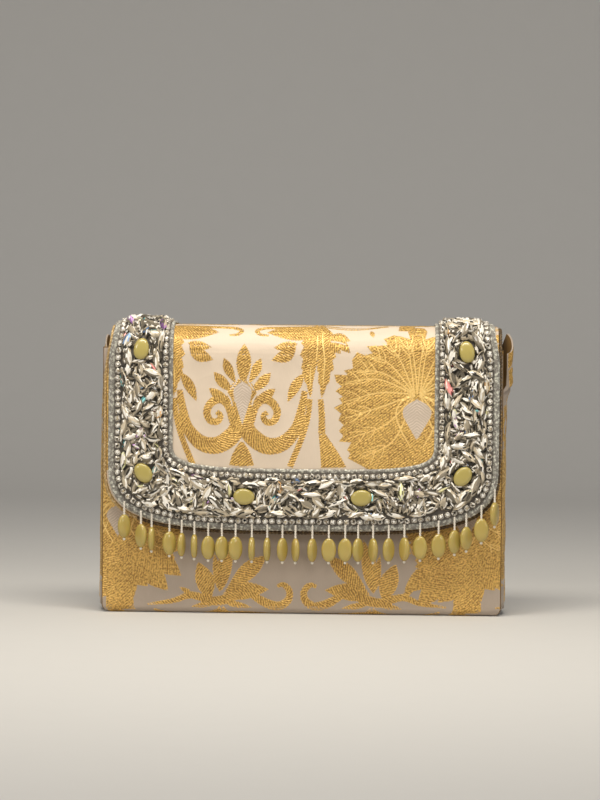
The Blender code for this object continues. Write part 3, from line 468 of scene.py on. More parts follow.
class Build:
    """Points and faces collected for one mesh, with a material and a tone for each face."""

    def __init__(self):
        self.points, self.faces, self.slots, self.tones = [], [], [], []

    def add(self, points, faces, slot=0, tones=None, place=None):
        first = len(self.points)
        self.points += [place(*p) for p in points] if place else points
        self.faces += [tuple(first + i for i in face) for face in faces]
        self.slots += [slot] * len(faces)
        self.tones += tones or [(0.5, 0.5, 0.5)] * len(faces)

    def object(self, name, materials, toned=False):
        obj = object_of(name, self.points, self.faces, materials, self.slots)
        if toned:
            layer = obj.data.color_attributes.new("tone", "FLOAT_COLOR", "CORNER")
            values = [(*tone, 1.0) for face, tone in zip(self.faces, self.tones) for _ in face]
            layer.data.foreach_set("color", np.array(values, np.float32).ravel())
        return obj


def circle(radius, sides, z, turn=0.0):
    """A ring of points about Z."""
    return [(radius * math.cos(math.tau * k / sides + turn), radius * math.sin(math.tau * k / sides + turn), z)
            for k in range(sides)]


def ring_faces(rings, sides, first=0):
    """The faces between rings of points, each ring joined to the next."""
    faces = []
    for m in range(rings - 1):
        a = first + m * sides
        faces += [(a + k, a + (k + 1) % sides, a + sides + (k + 1) % sides, a + sides + k) for k in range(sides)]
    return faces


def normals_out(mesh, weld=None):
    bm = bmesh.new()
    bm.from_mesh(mesh)
    if weld:
        bmesh.ops.remove_doubles(bm, verts=bm.verts, dist=weld)
    bmesh.ops.recalc_face_normals(bm, faces=bm.faces)
    bm.to_mesh(mesh)
    bm.free()


def all_in(obj, used):
    """Gives every material slot of a sheet the same material."""
    for slot in range(len(obj.data.materials)):
        obj.data.materials[slot] = bpy.data.materials[used]


def tube(path, radius, sides=5):
    """Points and faces of a round tube along a path of points. radius is one size or one for each point."""
    path = [Vector(p) for p in path]
    radii = radius if isinstance(radius, list) else [radius] * len(path)
    points = []
    up = None
    for i, p in enumerate(path):
        way = (path[min(i + 1, len(path) - 1)] - path[max(i - 1, 0)]).normalized()
        if up is None:
            up = way.orthogonal().normalized()
        up = (up - way * up.dot(way)).normalized()
        side = way.cross(up)
        for k in range(sides):
            a = math.tau * k / sides
            points.append(p + radii[i] * (math.cos(a) * up + math.sin(a) * side))
    faces = ring_faces(len(path), sides)
    faces.append(tuple(reversed(range(sides))))
    faces.append(tuple(range(len(points) - sides, len(points))))
    return points, faces


# The flap's flat pattern: x across, t up the cloth from the base line, h out from its face


def bend(x, t, h):
    s = sizes()
    radius = s.flap_radius + h
    front = s.flap_radius - s.flap_face
    back = s.body_depth / 2 - s.flap_radius
    if t <= s.hinge_height:
        return Vector((x, -s.flap_face - h, t))
    arc = s.flap_radius * math.pi / 2
    top = s.hinge_height + arc
    last = top + back - front
    if t <= top:
        turn = (t - s.hinge_height) / s.flap_radius
        return Vector((x, front - radius * math.cos(turn), s.hinge_height + radius * math.sin(turn)))
    if t <= last:
        return Vector((x, front + t - top, s.hinge_height + radius))
    turn = (t - last) / s.flap_radius
    return Vector((x, back + radius * math.sin(turn), s.hinge_height + radius * math.cos(turn)))


def hinge_t():
    s = sizes()
    return s.hinge_height + math.pi * s.flap_radius + s.flap_face + s.body_depth / 2 - 2 * s.flap_radius


def flap_folds():
    s = sizes()
    arc = s.flap_radius * math.pi / 2
    last = hinge_t() - arc
    turn = [arc * i / FOLD_STEPS for i in range(FOLD_STEPS + 1)]
    return [s.hinge_height + a for a in turn] + [last + a for a in turn[:-1]]


def lower_edge(half_width, low, rise, exponent, inset, steps=20):
    """The lower edge of a panel and its round corners, left to right, as (x, t) points."""
    a, b, centre = half_width - inset, rise - inset, low + rise
    points = []
    for i in range(2 * steps + 1):
        angle = math.pi * (1 + i / (2 * steps))
        c, s = math.cos(angle), math.sin(angle)
        x = math.copysign(abs(c) ** (2 / exponent), c) * a
        points.append((x, centre - b * abs(s) ** (2 / exponent)))
    return points


def flap_edge(inset, steps=20):
    s = sizes()
    return lower_edge(s.flap_width / 2, s.flap_low, s.flap_rise, FLAP_CORNER, inset, steps)


def window_low():
    """Height of the border's inner edge, which runs a little lower than the border is wide."""
    return sizes().flap_low + sizes().border - 0.0014


def window_edge(outset, steps=20):
    s = sizes()
    return lower_edge(s.flap_width / 2 - s.border, window_low(), s.window_rise, WINDOW_CORNER, -outset, steps)


def border_top():
    return hinge_t() - sizes().border_end


def with_arms(edge, top):
    return [(edge[0][0], top), *edge, (edge[-1][0], top)]


def resampled(path, step):
    """Points at even distances along a flat path, with the direction at each."""
    runs = [math.dist(a, b) for a, b in zip(path, path[1:])]
    count = max(1, round(sum(runs) / step))
    out, k, gone = [], 0, 0.0
    for i in range(count + 1):
        want = sum(runs) * i / count
        while k < len(runs) - 1 and gone + runs[k] < want:
            gone += runs[k]
            k += 1
        share = (want - gone) / runs[k] if runs[k] else 0.0
        (x0, y0), (x1, y1) = path[k], path[k + 1]
        out.append((x0 + (x1 - x0) * share, y0 + (y1 - y0) * share, math.atan2(y1 - y0, x1 - x0)))
    return out


def lean_at(x, z):
    """How much of its lean a point has: none low down or inside the border, all of it at the edge over the top."""
    s = sizes()
    low, high = s.hinge_height - 0.005, s.hinge_height + s.flap_radius
    share = min(1.0, max(0.0, (z - low) / (high - low)))
    outward = max(0.0, (abs(x) - s.flap_width / 2 + s.border) / s.border)
    return share**2 * (3 - 2 * share) * outward


def on_border(x, t, h):
    """A point of the border, whose arms lean in where they bend over the top."""
    s = sizes()
    point = bend(x, t, h)
    point.x += s.border_shift - math.copysign(s.arm_lean * lean_at(x, point.z), x)
    return point


def on_flap(x, t, h):
    """A point of the flap's cloth, whose left edge draws in over the top."""
    point = bend(x, t, h)
    if x < 0:
        point.x += sizes().edge_lean * (lean_at(x, point.z + 0.011) + lean_at(x, point.z)) / 2
    return point


# The brocade's figure, drawn in millimetres. A motif is a tone, the line round it, and the areas that it
# covers, each with the frame its threads follow.


def smooth(points, step=1.2):
    """A smooth curve through the points, by Catmull and Rom, at about even steps."""
    p = [Vector(q) for q in points]
    p = [2 * p[0] - p[1], *p, 2 * p[-1] - p[-2]]
    out = []
    for a, b, c, d in zip(p, p[1:], p[2:], p[3:]):
        steps = max(2, round((c - b).length / step))
        for i in range(steps):
            u = i / steps
            out.append(0.5 * (2 * b + (c - a) * u + (2 * a - 5 * b + 4 * c - d) * u**2
                              + (3 * b - a - 3 * c + d) * u**3))
    return out + [p[-2]]


def area(tone, points, angle=0.0, origin=None):
    points = [tuple(q) for q in points]
    if origin is None:
        origin = points[0]
    return [(tone, points, [(points, (*origin, angle, 0.0))])]


def leaf(base, tip, width, lean=0.0, teeth=0, bulge=0.45, tone=GOLD):
    """A pointed leaf. lean bows its middle to the left, and teeth notch both its sides."""
    base, tip = Vector(base), Vector(tip)
    way = tip - base
    across = Vector((-way.y, way.x)).normalized()
    power = math.log(0.5) / math.log(bulge)
    count = max(7, round(way.length / 1.2))
    if teeth:
        count = 4 * teeth
    sides = []
    for side in (1, -1):
        line = []
        for i in range(1, count):
            u = i / count
            half = width / 2 * math.sin(math.pi * u**power) ** 0.9
            if teeth:
                half *= 1 - 0.30 * (1 - (i % 4) / 3)
            line.append(base + way * u + across * (side * half + lean * math.sin(math.pi * u)))
        sides.append(line)
    points = [base, *sides[0], tip, *sides[1][::-1]]
    return area(tone, points, math.atan2(way.y, way.x), tuple(base))


def stem(points, widths, tone=GOLD):
    """A stroke along a smooth line, its widths spread evenly along it."""
    line = smooth(points)
    last = len(line) - 1
    left, right = [], []
    for i, p in enumerate(line):
        way = line[min(i + 1, last)] - line[max(i - 1, 0)]
        across = Vector((-way.y, way.x)).normalized()
        at = i / last * (len(widths) - 1)
        k = min(int(at), len(widths) - 2)
        half = (widths[k] + (widths[k + 1] - widths[k]) * (at - k)) / 2
        left.append(tuple(p + across * half))
        right.append(tuple(p - across * half))
    parts, gone = [], 0.0
    for i in range(last):
        run = line[i + 1] - line[i]
        parts.append(([right[i], right[i + 1], left[i + 1], left[i]],
                      (*line[i], math.atan2(run.y, run.x), gone)))
        gone += run.length
    return [(tone, left + right[::-1], parts)]


def eye(top, half_width, wide_at, tip):
    """A drop-shaped eye with cream hatching."""
    x, y = top
    side = smooth([(x, y), (x + half_width * 0.72, y - (y - wide_at) * 0.42), (x + half_width, wide_at),
                   (x + half_width * 0.52, (wide_at + tip) / 2 - 0.5), (x, tip)], 1.5)
    points = [tuple(q) for q in side] + [(2 * x - q.x, q.y) for q in side[-2:0:-1]]
    return area(EYE, points[::-1], -math.pi / 2, (x, y))


def mirrored(motifs, axis=0.0):
    out = []
    for tone, line, parts in motifs:
        out.append((tone, [(2 * axis - x, y) for x, y in line][::-1],
                    [([(2 * axis - x, y) for x, y in shape][::-1], (2 * axis - ox, oy, math.pi - a, s))
                     for shape, (ox, oy, a, s) in parts]))
    return out


def moved(motifs, dx, dy, scale=1.0):
    out = []
    for tone, line, parts in motifs:
        out.append((tone, [(dx + x * scale, dy + y * scale) for x, y in line],
                    [([(dx + x * scale, dy + y * scale) for x, y in shape],
                      (dx + ox * scale, dy + oy * scale, a, s * scale)) for shape, (ox, oy, a, s) in parts]))
    return out


def both(motifs, axis=0.0):
    return motifs + mirrored(motifs, axis)


def lotus():
    """The lotus with its two scrolls and the wide stem that cradles it, centred on its eye."""
    half = stem([(-1.4, -12.5), (-5, -19), (-13, -24.4), (-22, -23.4), (-29.4, -15.5), (-32.6, -4), (-34.2, 5.6)],
                [8.6, 9.8, 9.4, 8.2, 6.0, 4.6, 3.4])
    half += stem([(-0.5, -15), (-3.2, -9), (-6.6, -2.6), (-11.4, 0.6), (-16.4, -1.0), (-19.2, -6.0),
                  (-17.4, -11.0), (-13.4, -11.6), (-11.6, -8.4), (-13.9, -6.2)],
                 [9.6, 9.4, 7.6, 5.8, 4.8, 4.5, 4.3, 4.0, 3.5, 2.8])
    half += leaf((-4.4, -0.6), (-18.2, 6.6), 5.6, 1.2, bulge=0.6)
    half += leaf((-3.4, 3.6), (-15.6, 15.4), 5.8, 0.6, bulge=0.6)
    half += leaf((-2.8, 8.0), (-10.2, 23.2), 5.4, 0.4, bulge=0.62)
    half += stem([(-0.8, 10.8), (-4.8, 6.4), (-6.4, 0.5), (-4.8, -7), (-1.6, -13.5)], [3.6, 4.4, 4.2, 4.4, 4.5])
    half += stem([(-2.6, 11.6), (-3.8, 9.4), (-6.4, 6.0)], [0.6, 0.7, 0.4], SATIN)
    half += stem([(-8.8, 4.6), (-6.2, 0.6), (-5.4, -2.8)], [0.7, 0.8, 0.4], SATIN)
    half += leaf((-33.6, 15.0), (-24.8, -0.8), 5.8, 0.6)
    half += stem([(-35.6, 34), (-36.6, 24), (-33.8, 14)], [4.2, 4.0, 3.2])
    half += leaf((-30.0, 31.4), (-16.8, 28.8), 5.6, -0.4)
    half += leaf((-29.2, 29.4), (-15.8, 22.0), 7.4, -1.4)
    out = both(half)
    out += leaf((0.4, 6.5), (1.0, 31.2), 8.2, bulge=0.58)
    out += eye((0.2, 10.6), 4.9, 4.2, -13.0)
    bell = [(-0.9, -22.5), (-3.4, -26), (-5.2, -29.4), (-6.9, -35.4), (0, -36.2), (6.9, -35.4), (5.2, -29.4),
            (3.4, -26), (0.9, -22.5)]
    out += area(GOLD, bell, math.pi / 2, (0, -36))
    out += both(stem([(-38, 43), (-24, 43.8), (-12, 43.6), (-5, 42.8), (-0.9, 40.2), (-2.6, 37.2), (-7.4, 36.4)],
                     [6, 7, 4.6, 3.0, 3.2, 2.8, 1.4]), 3.4)
    out += both(leaf((-42, 38.4), (-13, 38.6), 12.5, 1.0))
    return out


def column():
    """The leafy stem between the lotus and the carnation, centred on the level of the lotus's eye."""
    out = leaf((1.0, 50), (2.0, 1.6), 12.5, 2.2, teeth=7, bulge=0.44)
    out += leaf((-1.0, 50), (-4.2, 2.0), 12.0, -1.6, teeth=7, bulge=0.46)
    out += stem([(2.6, 44), (2.2, 34), (3.4, 22), (2.6, 9)], [0.5, 0.8, 0.8, 0.4], PALE)
    out += stem([(-3.6, 42), (-5.0, 32), (-4.2, 20), (-4.4, 8)], [0.5, 0.8, 0.8, 0.4], PALE)
    out += stem([(-0.6, 42), (-0.6, 30), (-1.0, 22)], [0.5, 0.8, 0.4], PALE)
    out += leaf((-0.8, 20.0), (-2.4, 0.5), 2.4, bulge=0.6, tone=SATIN)
    out += stem([(-4.4, 1.2), (-5.4, -8), (-8.6, -20), (-15.0, -36)], [3.0, 3.3, 3.4, 3.6])
    out += stem([(1.4, 1.2), (2.2, -8), (2.2, -18)], [3.2, 3.6, 4.0])
    bell = [(0.2, -15.5), (4.6, -18), (8.2, -23.2), (12.0, -28.8), (16.0, -36), (2.0, -36.4), (1.2, -25)]
    out += area(GOLD, bell, math.pi / 2, (1, -36))
    out += leaf((5.4, 35.2), (17.6, 26.2), 6.2, 1.0) + leaf((5.0, 32.4), (12.4, 26.0), 5.0)
    out += leaf((5.4, 35.6), (17.4, 33.2), 6.4, 1.2)
    out += stem([(7.0, 32.8), (11.0, 32.4), (15.0, 31.0)], [0.6, 0.8, 0.4], SATIN)
    out += stem([(2, 46), (15, 42.8), (27, 43.4), (38, 47)], [4.0, 3.0, 2.4, 2.2])
    out += stem([(4, 45), (16, 42.8), (28, 43.6)], [0.5, 0.7, 0.4], SATIN)
    out += leaf((28.5, 41.0), (30.0, 35.4), 2.8)
    return out


def carnation():
    """The wide serrated flower with its veins and its hatched eye, centred on its axis at the lotus's level."""
    half = [(0, 45.6), (-3.6, 44.8), (-5.4, 40.5), (-4.2, 35.0), (-8.0, 36.4), (-13.0, 37.6), (-18.6, 34.8),
            (-16.4, 31.2), (-20.4, 30.8), (-27.9, 30.4), (-24.8, 26.6), (-28.3, 25.2), (-32.9, 27.0), (-35.7, 22.9),
            (-35.2, 18.2), (-40.2, 17.0), (-38.2, 14.6), (-45.4, 14.7), (-44.2, 10.6), (-41.4, 8.4), (-44.6, 5.6),
            (-40.6, 2.6), (-42.8, 1.6), (-40.7, -0.9), (-45.4, -3.4), (-41.4, -6.8), (-42.9, -10.2),
            (-40.0, -12.8), (-42.6, -16.0), (-40.2, -18.8), (-42.4, -21.8), (-35.8, -22.4), (-37.9, -26.4),
            (-36.2, -28.4), (-37.6, -31.0), (-30.6, -34.6), (-24.0, -38.4), (-14.0, -41.0), (-6, -46), (0, -47)]
    points = half + [(-x, y) for x, y in half[-2:0:-1]]
    out = area(GRAIN, points[::-1], math.pi / 2, (0, 0))
    veins = []
    for x, y, bow in ((-6, 34, 2), (-15, 31, 3), (-25, 25.5, 4), (-33, 17, 4), (-39, 10.5, 4), (-39, 0, 2),
                      (-39, -9, -1), (-37, -20, -5), (-31, -31, -8)):
        middle = (x * 0.5 - bow * 0.4, y * 0.5 + 3 + bow)
        veins += stem([(-1.5, 4.4), middle, (x, y)], [0.8, 0.75, 0.4], PALE)
        across = Vector((-y, x)).normalized() * 3.8
        for share, reach in ((0.72, 7.0), (0.45, 8.0)):
            start = Vector(middle) * share + Vector((x, y)) * (1 - share)
            for side in (1, -1):
                end = start + Vector((x, y)).normalized() * reach + across * side
                veins += stem([tuple(start), tuple((start + end) / 2 + across * side * 0.14), tuple(end)],
                              [0.55, 0.5, 0.3], PALE)
    veins += stem([(-1, 3.4), (-8.2, 0.6), (-11.4, -6), (-9.2, -14), (-3.4, -24.6)], [0.7, 0.9, 0.9, 0.8, 0.5], PALE)
    veins += stem([(0, 4.5), (-1.4, 20), (-3.4, 31)], [0.8, 0.7, 0.4], PALE)
    out += both(veins)
    out += eye((0, 1.6), 7.8, -6.2, -20.4)
    return out


def spray():
    """The sprays of leaves either side of two facing scrolls, centred between the scrolls on the base line."""
    half = stem([(-24, 8.6), (-16.5, 4.4), (-9.8, 3.0), (-4.6, 6.4), (-4.2, 11.6), (-7.6, 14.8), (-10.8, 13.8)],
                [4.0, 5.0, 5.2, 4.8, 4.2, 3.6, 2.0])
    half += leaf((-47.6, 5.6), (-54.4, 26.8), 10.4, -0.6, bulge=0.5)
    half += leaf((-40.0, 8.2), (-15.4, 12.0), 9.6, 1.2)
    half += leaf((-41.4, 8.0), (-17.0, 30.6), 9.4, 0.4, bulge=0.62)
    half += leaf((-42.4, 10.0), (-36.4, 40.0), 8.6, 0.4)
    half += leaf((-43.5, 12.0), (-45.6, 32.0), 4.4, -0.4)
    half += stem([(-22, 9.0), (-31, 9.6), (-38, 6.8), (-46, 5.4), (-58, 8.4), (-68, 5.2), (-82, 3.2)],
                 [4.0, 5.4, 5.6, 4.6, 3.6, 2.6, 1.0])
    half += leaf((-57, 8.0), (-64.6, 12.8), 3.2, -0.3)
    half += leaf((-40, 4.8), (-24.6, 2.0), 3.6) + leaf((-44, 4.6), (-58.0, 2.0), 3.4)
    flower = moved(carnation(), -98.7, 56.5, 0.78)
    flower += leaf((-84, 34), (-63.4, 18.9), 12, tone=GRAIN) + leaf((-92, 30), (-70.7, 10.6), 13, 1.0, tone=GRAIN)
    flower += leaf((-98, 30), (-82, 13), 14, tone=GRAIN) + leaf((-98, 32), (-105.7, 13.6), 12, tone=GRAIN)
    flower += stem([(-97.5, 26), (-95.5, 14), (-94.2, 6), (-94, 0)], [18, 11, 8.6, 9.2], GRAIN)
    return both(half) + flower + moved(mirrored(flower), -4.5, -7)


def repeat_a(x, y):
    """One full repeat of lotus, column and carnation, with the lotus's eye at x, y."""
    right = moved(column(), 41.4, 0)
    flower = moved(carnation(), FIGURE_REPEAT / 2, 0)
    return moved(flower + mirrored(flower) + both(right) + lotus(), x, y)


def brocade_rows(rows, low, high, half_width):
    """Rows of the figure, each a kind, an axis and a level, kept where they touch the cloth."""
    out = []
    for kind, x, y in rows:
        for shift in (-FIGURE_REPEAT, 0.0, FIGURE_REPEAT):
            made = repeat_a(x + shift, y) if kind == "flower" else moved(spray(), x + shift, y)
            for motif in made:
                xs, ys = zip(*motif[1])
                if max(xs) > -half_width and min(xs) < half_width and max(ys) > low and min(ys) < high:
                    out.append(motif)
    return out


def inside(shape, px, py):
    """Which of the points lie in the shape, by winding number."""
    winding = np.zeros(len(px), int)
    for (x0, y0), (x1, y1) in zip(shape, shape[1:] + shape[:1]):
        if y0 == y1:
            continue
        left = (x1 - x0) * (py - y0) - (px - x0) * (y1 - y0)
        winding += ((y0 <= py) & (y1 > py) & (left > 0)).astype(int)
        winding -= ((y0 > py) & (y1 <= py) & (left < 0)).astype(int)
    return winding != 0


def tones_at(motifs, px, py):
    """The tone at each point, and the number of the area whose threads run there."""
    tone = np.full(len(px), SATIN)
    frame = np.full(len(px), -1)
    frames = []
    order = np.argsort(py)
    sorted_y = py[order]
    for kind, _, parts in motifs:
        for shape, threads in parts:
            ys = [p[1] for p in shape]
            a, b = np.searchsorted(sorted_y, (min(ys), max(ys)))
            near = order[a:b]
            xs = [p[0] for p in shape]
            near = near[(px[near] >= min(xs)) & (px[near] <= max(xs))]
            if len(near):
                hit = near[inside(shape, px[near], py[near])]
                tone[hit] = kind
                frame[hit] = len(frames)
                frames.append(threads)
    return tone, frame, frames


def brocade(name, outline, folds, motifs, place, rim, rim_slot=GOLD):
    """A closed sheet of brocade. outline and folds are in millimetres on the flat cloth. rim is the way its
    edge is turned under, as (inset, height) in millimetres from the face inwards and at times a tone, and place
    puts a point of the flat cloth in space."""
    c = cloth()
    outline = [tuple(p) for p in outline]
    xs, ys = [p[0] for p in outline], [p[1] for p in outline]
    edges, verts = [], []

    def loop(points, closed=True):
        first = len(verts)
        verts.extend(Vector(p[:2]) for p in points)
        count = len(points)
        edges.extend((first + i, first + (i + 1) % count) for i in range(count if closed else count - 1))

    loop(outline)
    for level in folds:
        loop([(min(xs) - 1, level), (max(xs) + 1, level)], closed=False)
    lines = kd_of([line for _, line, _ in motifs] + [outline])
    for _, line, _ in motifs:
        loop(line)
    # Points that carry the relief, in the middle of the gold
    pitch = c.pitch / MM
    gx, gy = np.meshgrid(np.arange(min(xs), max(xs), pitch), np.arange(min(ys), max(ys), pitch * 0.87))
    gx = gx + (np.arange(gx.shape[0]) % 2 * pitch / 2)[:, None]
    gx, gy = gx.ravel(), gy.ravel()
    keep = inside(outline, gx, gy)
    tone, _, _ = tones_at(motifs, gx, gy)
    keep &= (tone == GOLD) | (tone == PALE) | (tone == GRAIN)
    for x, y in zip(gx[keep], gy[keep]):
        if lines.find((x, y, 0.0))[2] > 0.45:
            verts.append(Vector((float(x), float(y))))
    flat, _, triangles, _, _, _ = delaunay_2d_cdt(verts, edges, [], 0, 1e-4, False)
    flat = np.array([tuple(p) for p in flat])
    triangles = np.array(triangles)
    centre = flat[triangles].mean(axis=1)
    shown = inside(outline, centre[:, 0], centre[:, 1])
    triangles, centre = triangles[shown], centre[shown]
    tone, frame, frames = tones_at(motifs, centre[:, 0], centre[:, 1])

    bm = bmesh.new()
    used = np.unique(triangles)
    tones = {}
    for triangle, kind in zip(triangles, tone):
        for i in triangle:
            tones.setdefault(int(i), set()).add(int(kind))
    at = {}
    flat_of = {}
    edge_layer = bm.verts.layers.float.new("edge")
    relief = c.relief
    shores = shore_tree(flat, triangles, tone)
    for i in used:
        x, y = flat[i]
        rise = share = 0.0
        if not tones[int(i)] & {SATIN, EYE}:
            rise = min(1.0, lines.find((x, y, 0.0))[2] / 0.9)
            share = min(1.0, shores.find((x, y, 0.0))[2] / 0.9)
        vertex = bm.verts.new((x * MM, y * MM, relief * rise**0.7))
        vertex[edge_layer] = share
        at[int(i)] = vertex
        flat_of[vertex] = (x, y)
    flat_uv, thread_uv = bm.loops.layers.uv.new("cloth"), bm.loops.layers.uv.new("thread")
    for triangle, kind, k in zip(triangles, tone, frame):
        try:
            face = bm.faces.new([at[int(i)] for i in triangle])
        except ValueError:
            continue
        face.material_index = int(kind)
        ox, oy, angle, start = frames[k] if k >= 0 else (0.0, 0.0, 0.0, 0.0)
        ca, sa = math.cos(angle), math.sin(angle)
        for corner in face.loops:
            x, y = flat_of[corner.vert]
            corner[flat_uv].uv = (x * MM, y * MM)
            u = (x - ox) * ca + (y - oy) * sa
            v = (y - oy) * ca - (x - ox) * sa
            corner[thread_uv].uv = ((start + u) * MM, v * MM)
    bm.normal_update()
    for face in bm.faces:
        if face.normal.z < 0:
            face.normal_flip()

    # The edge, turned under: rings of points set in along the outline's own normals
    ring = [edge for edge in bm.edges if len(edge.link_faces) == 1]
    after = {}
    for edge in ring:
        for corner in edge.link_faces[0].loops:
            if corner.edge == edge:
                after[corner.vert] = corner.link_loop_next.vert
    start = next(iter(after))
    order = [start]
    while after[order[-1]] is not start:
        order.append(after[order[-1]])
    count = len(order)
    normals = []
    for i, vertex in enumerate(order):
        before, behind = order[i - 1].co, order[(i + 1) % count].co
        a = (vertex.co - before).to_2d().normalized()
        b = (behind - vertex.co).to_2d().normalized()
        n = Vector((-(a.y + b.y), a.x + b.x)).normalized()
        normals.append(n / max(0.5, n.dot(Vector((-a.y, a.x)))))
    base = [vertex.co.to_2d() for vertex in order]
    last = order
    travelled = 0.0
    for k, (inset, height, *slot) in enumerate(rim):
        fresh = []
        for p, n in zip(base, normals):
            q = p + n * inset * MM
            fresh.append(bm.verts.new((q.x, q.y, height * MM)))
        here = Vector((inset, height))
        before = Vector(rim[k - 1][:2]) if k else Vector((0.0, 0.0))
        step = (here - before).length
        for i in range(count):
            j = (i + 1) % count
            face = bm.faces.new((last[j], last[i], fresh[i], fresh[j]))
            face.material_index = slot[0] if slot else rim_slot
            along = (i * 0.9 * MM, (i + 1) * 0.9 * MM)
            uvs = ((along[1], travelled * MM), (along[0], travelled * MM),
                   (along[0], (travelled + step) * MM), (along[1], (travelled + step) * MM))
            for corner, uv in zip(face.loops, uvs):
                corner[flat_uv].uv = uv
                corner[thread_uv].uv = uv
        travelled += step
        last = fresh
    # The inner side closes the sheet
    first = len(last)
    points = [vertex.co.to_2d() / MM for vertex in last]
    inner_edges = [(i, (i + 1) % first) for i in range(first)]
    inner = [Vector(p) for p in points]
    for level in folds:
        inner += [Vector((min(xs) - 1, level)), Vector((max(xs) + 1, level))]
        inner_edges.append((len(inner) - 2, len(inner) - 1))
    got, _, tris, origin, _, _ = delaunay_2d_cdt(inner, inner_edges, [], 0, 1e-4, True)
    ring_shape = [tuple(p) for p in points]
    got_xy = np.array([tuple(p) for p in got])
    centres = got_xy[np.array(tris)].mean(axis=1)
    keep = inside(ring_shape, centres[:, 0], centres[:, 1])
    height = rim[-1][1] * MM
    inner_verts = []
    for p, source in zip(got, origin):
        ringed = [s for s in source if s < first]
        inner_verts.append(last[ringed[0]] if ringed else None)
    for tri, wanted in zip(tris, keep):
        if not wanted:
            continue
        corners = []
        for i in tri:
            if inner_verts[i] is None:
                inner_verts[i] = bm.verts.new((got[i].x * MM, got[i].y * MM, height))
            corners.append(inner_verts[i])
        try:
            face = bm.faces.new(corners[::-1])
        except ValueError:
            continue
        face.material_index = INNER
        for corner in face.loops:
            corner[flat_uv].uv = corner.vert.co.to_2d()
            corner[thread_uv].uv = corner.vert.co.to_2d()
    bmesh.ops.delete(bm, geom=[v for v in bm.verts if not v.link_faces], context="VERTS")
    for vertex in bm.verts:
        vertex.co = place(*vertex.co)
    bmesh.ops.recalc_face_normals(bm, faces=bm.faces)
    mesh = bpy.data.meshes.new(name)
    bm.to_mesh(mesh)
    bm.free()
    for used_name in CLOTH_MATERIALS:
        mesh.materials.append(bpy.data.materials[used_name])
    obj = bpy.data.objects.new(name, mesh)
    bpy.context.scene.collection.objects.link(obj)
    return obj


def shore_tree(flat, triangles, tone):
    """A tree of points along the edges where the gold figure meets the ground."""
    sides = {}
    for triangle, kind in zip(triangles.tolist(), tone.tolist()):
        for a, b in zip(triangle, triangle[1:] + triangle[:1]):
            sides.setdefault((min(a, b), max(a, b)), []).append(kind in (SATIN, EYE))
    lines = [[tuple(flat[a]), tuple(flat[b])] for (a, b), kinds in sides.items() if len(set(kinds)) == 2]
    return kd_of(lines or [[(0.0, 0.0), (0.0, 1.0)]], 0.3)


def kd_of(lines, step=0.4):
    """A tree of points along closed lines, for the distance to the nearest of them."""
    points = []
    for line in lines:
        for (x0, y0), (x1, y1) in zip(line, line[1:] + line[:1]):
            steps = max(1, int(math.dist((x0, y0), (x1, y1)) / step))
            for i in range(steps):
                points.append((x0 + (x1 - x0) * i / steps, y0 + (y1 - y0) * i / steps, 0.0))
    tree = kdtree.KDTree(len(points))
    for i, point in enumerate(points):
        tree.insert(point, i)
    tree.balance()
    return tree


def in_mm(points):
    return [(p[0] / MM, p[1] / MM) for p in points]


def thinned(values, step):
    out = []
    for value in values:
        if not out or math.dist(value[:2], out[-1][:2]) > step:
            out.append(value)
    return out


# The pieces


class CLUTCH_OT_body(bpy.types.Operator):
    """Makes the brocade cover of the body, folded up the front, under the base and up the back."""

    bl_idname = "clutch.body"
    bl_label = "Body cover"

    def execute(self, context):
        s = sizes()
        half, fold = s.body_depth / 2, s.base_fold
        arc = fold * math.pi / 2
        flat = 2 * (half - fold)
        end = fold - 2 * arc - flat
        back_top = end - (s.hinge_height - 0.00015 - fold)

        def place(x, v, h):
            r = fold + h
            if v >= fold:
                y, z = -half - h, v
            elif v >= fold - arc:
                a = (fold - v) / fold
                y, z = -(half - fold) - r * math.cos(a), fold - r * math.sin(a)
            elif v >= fold - arc - flat:
                y, z = -(half - fold) + (fold - arc - v), -h
            elif v >= end:
                a = (fold - arc - flat - v) / fold
                y, z = (half - fold) + r * math.sin(a), fold - r * math.cos(a)
            else:
                y, z = half + h, fold + end - v
            low = s.corner_radius
            wide = s.body_width / 2
            if z < low:
                trimmed = wide - low + math.sqrt(max(0.0, low**2 - (low - max(z, 0.0)) ** 2))
                x *= trimmed / wide
            return Vector((x, y, z))

        w = s.body_width / 2
        folds = [fold - arc * i / FOLD_STEPS for i in range(FOLD_STEPS + 1)]
        folds += [end + arc * i / FOLD_STEPS for i in range(FOLD_STEPS + 1)]
        folds += [fold * 0.5 + fold * 0.5 * i / 4 for i in range(1, 4)]
        folds = sorted(set(round(v / MM, 4) for v in folds))
        top = s.front_height
        outline = [(-w, back_top), (w, back_top), (w, top), (-w, top)]
        # The two outer rings of the turned edge take the dark seam material: a seam line, darkened further with
        # painted shadow of the gap beside the gussets
        rim = [(-0.25, -0.12, SEAM_SHADOW), (-0.5, -0.5, SEAM_SHADOW), (-0.5, -2.7), (-0.3, -3.05), (0.4, -3.35), (6.0, -3.35),
               (6.0, -3.2), (0.75, -3.2), (0.75, -0.6)]
        rows = [("spray", -2.3, 1.4), ("flower", 93.1, 106.4), ("flower", -2.3, -45.6), ("spray", 93.1, -150.6),
                ("flower", 93.1, -197.6)]
        motifs = brocade_rows(rows, back_top / MM, top / MM, w / MM)
        obj = brocade("body_brocade", in_mm(outline), folds, motifs, place, rim, SATIN)
        # The body's ground is the satin painted darker: painted shade
        obj.data.materials[SATIN] = bpy.data.materials["body satin"]
        finish_piece(obj, "bag", ("body_cover",))
        return {"FINISHED"}


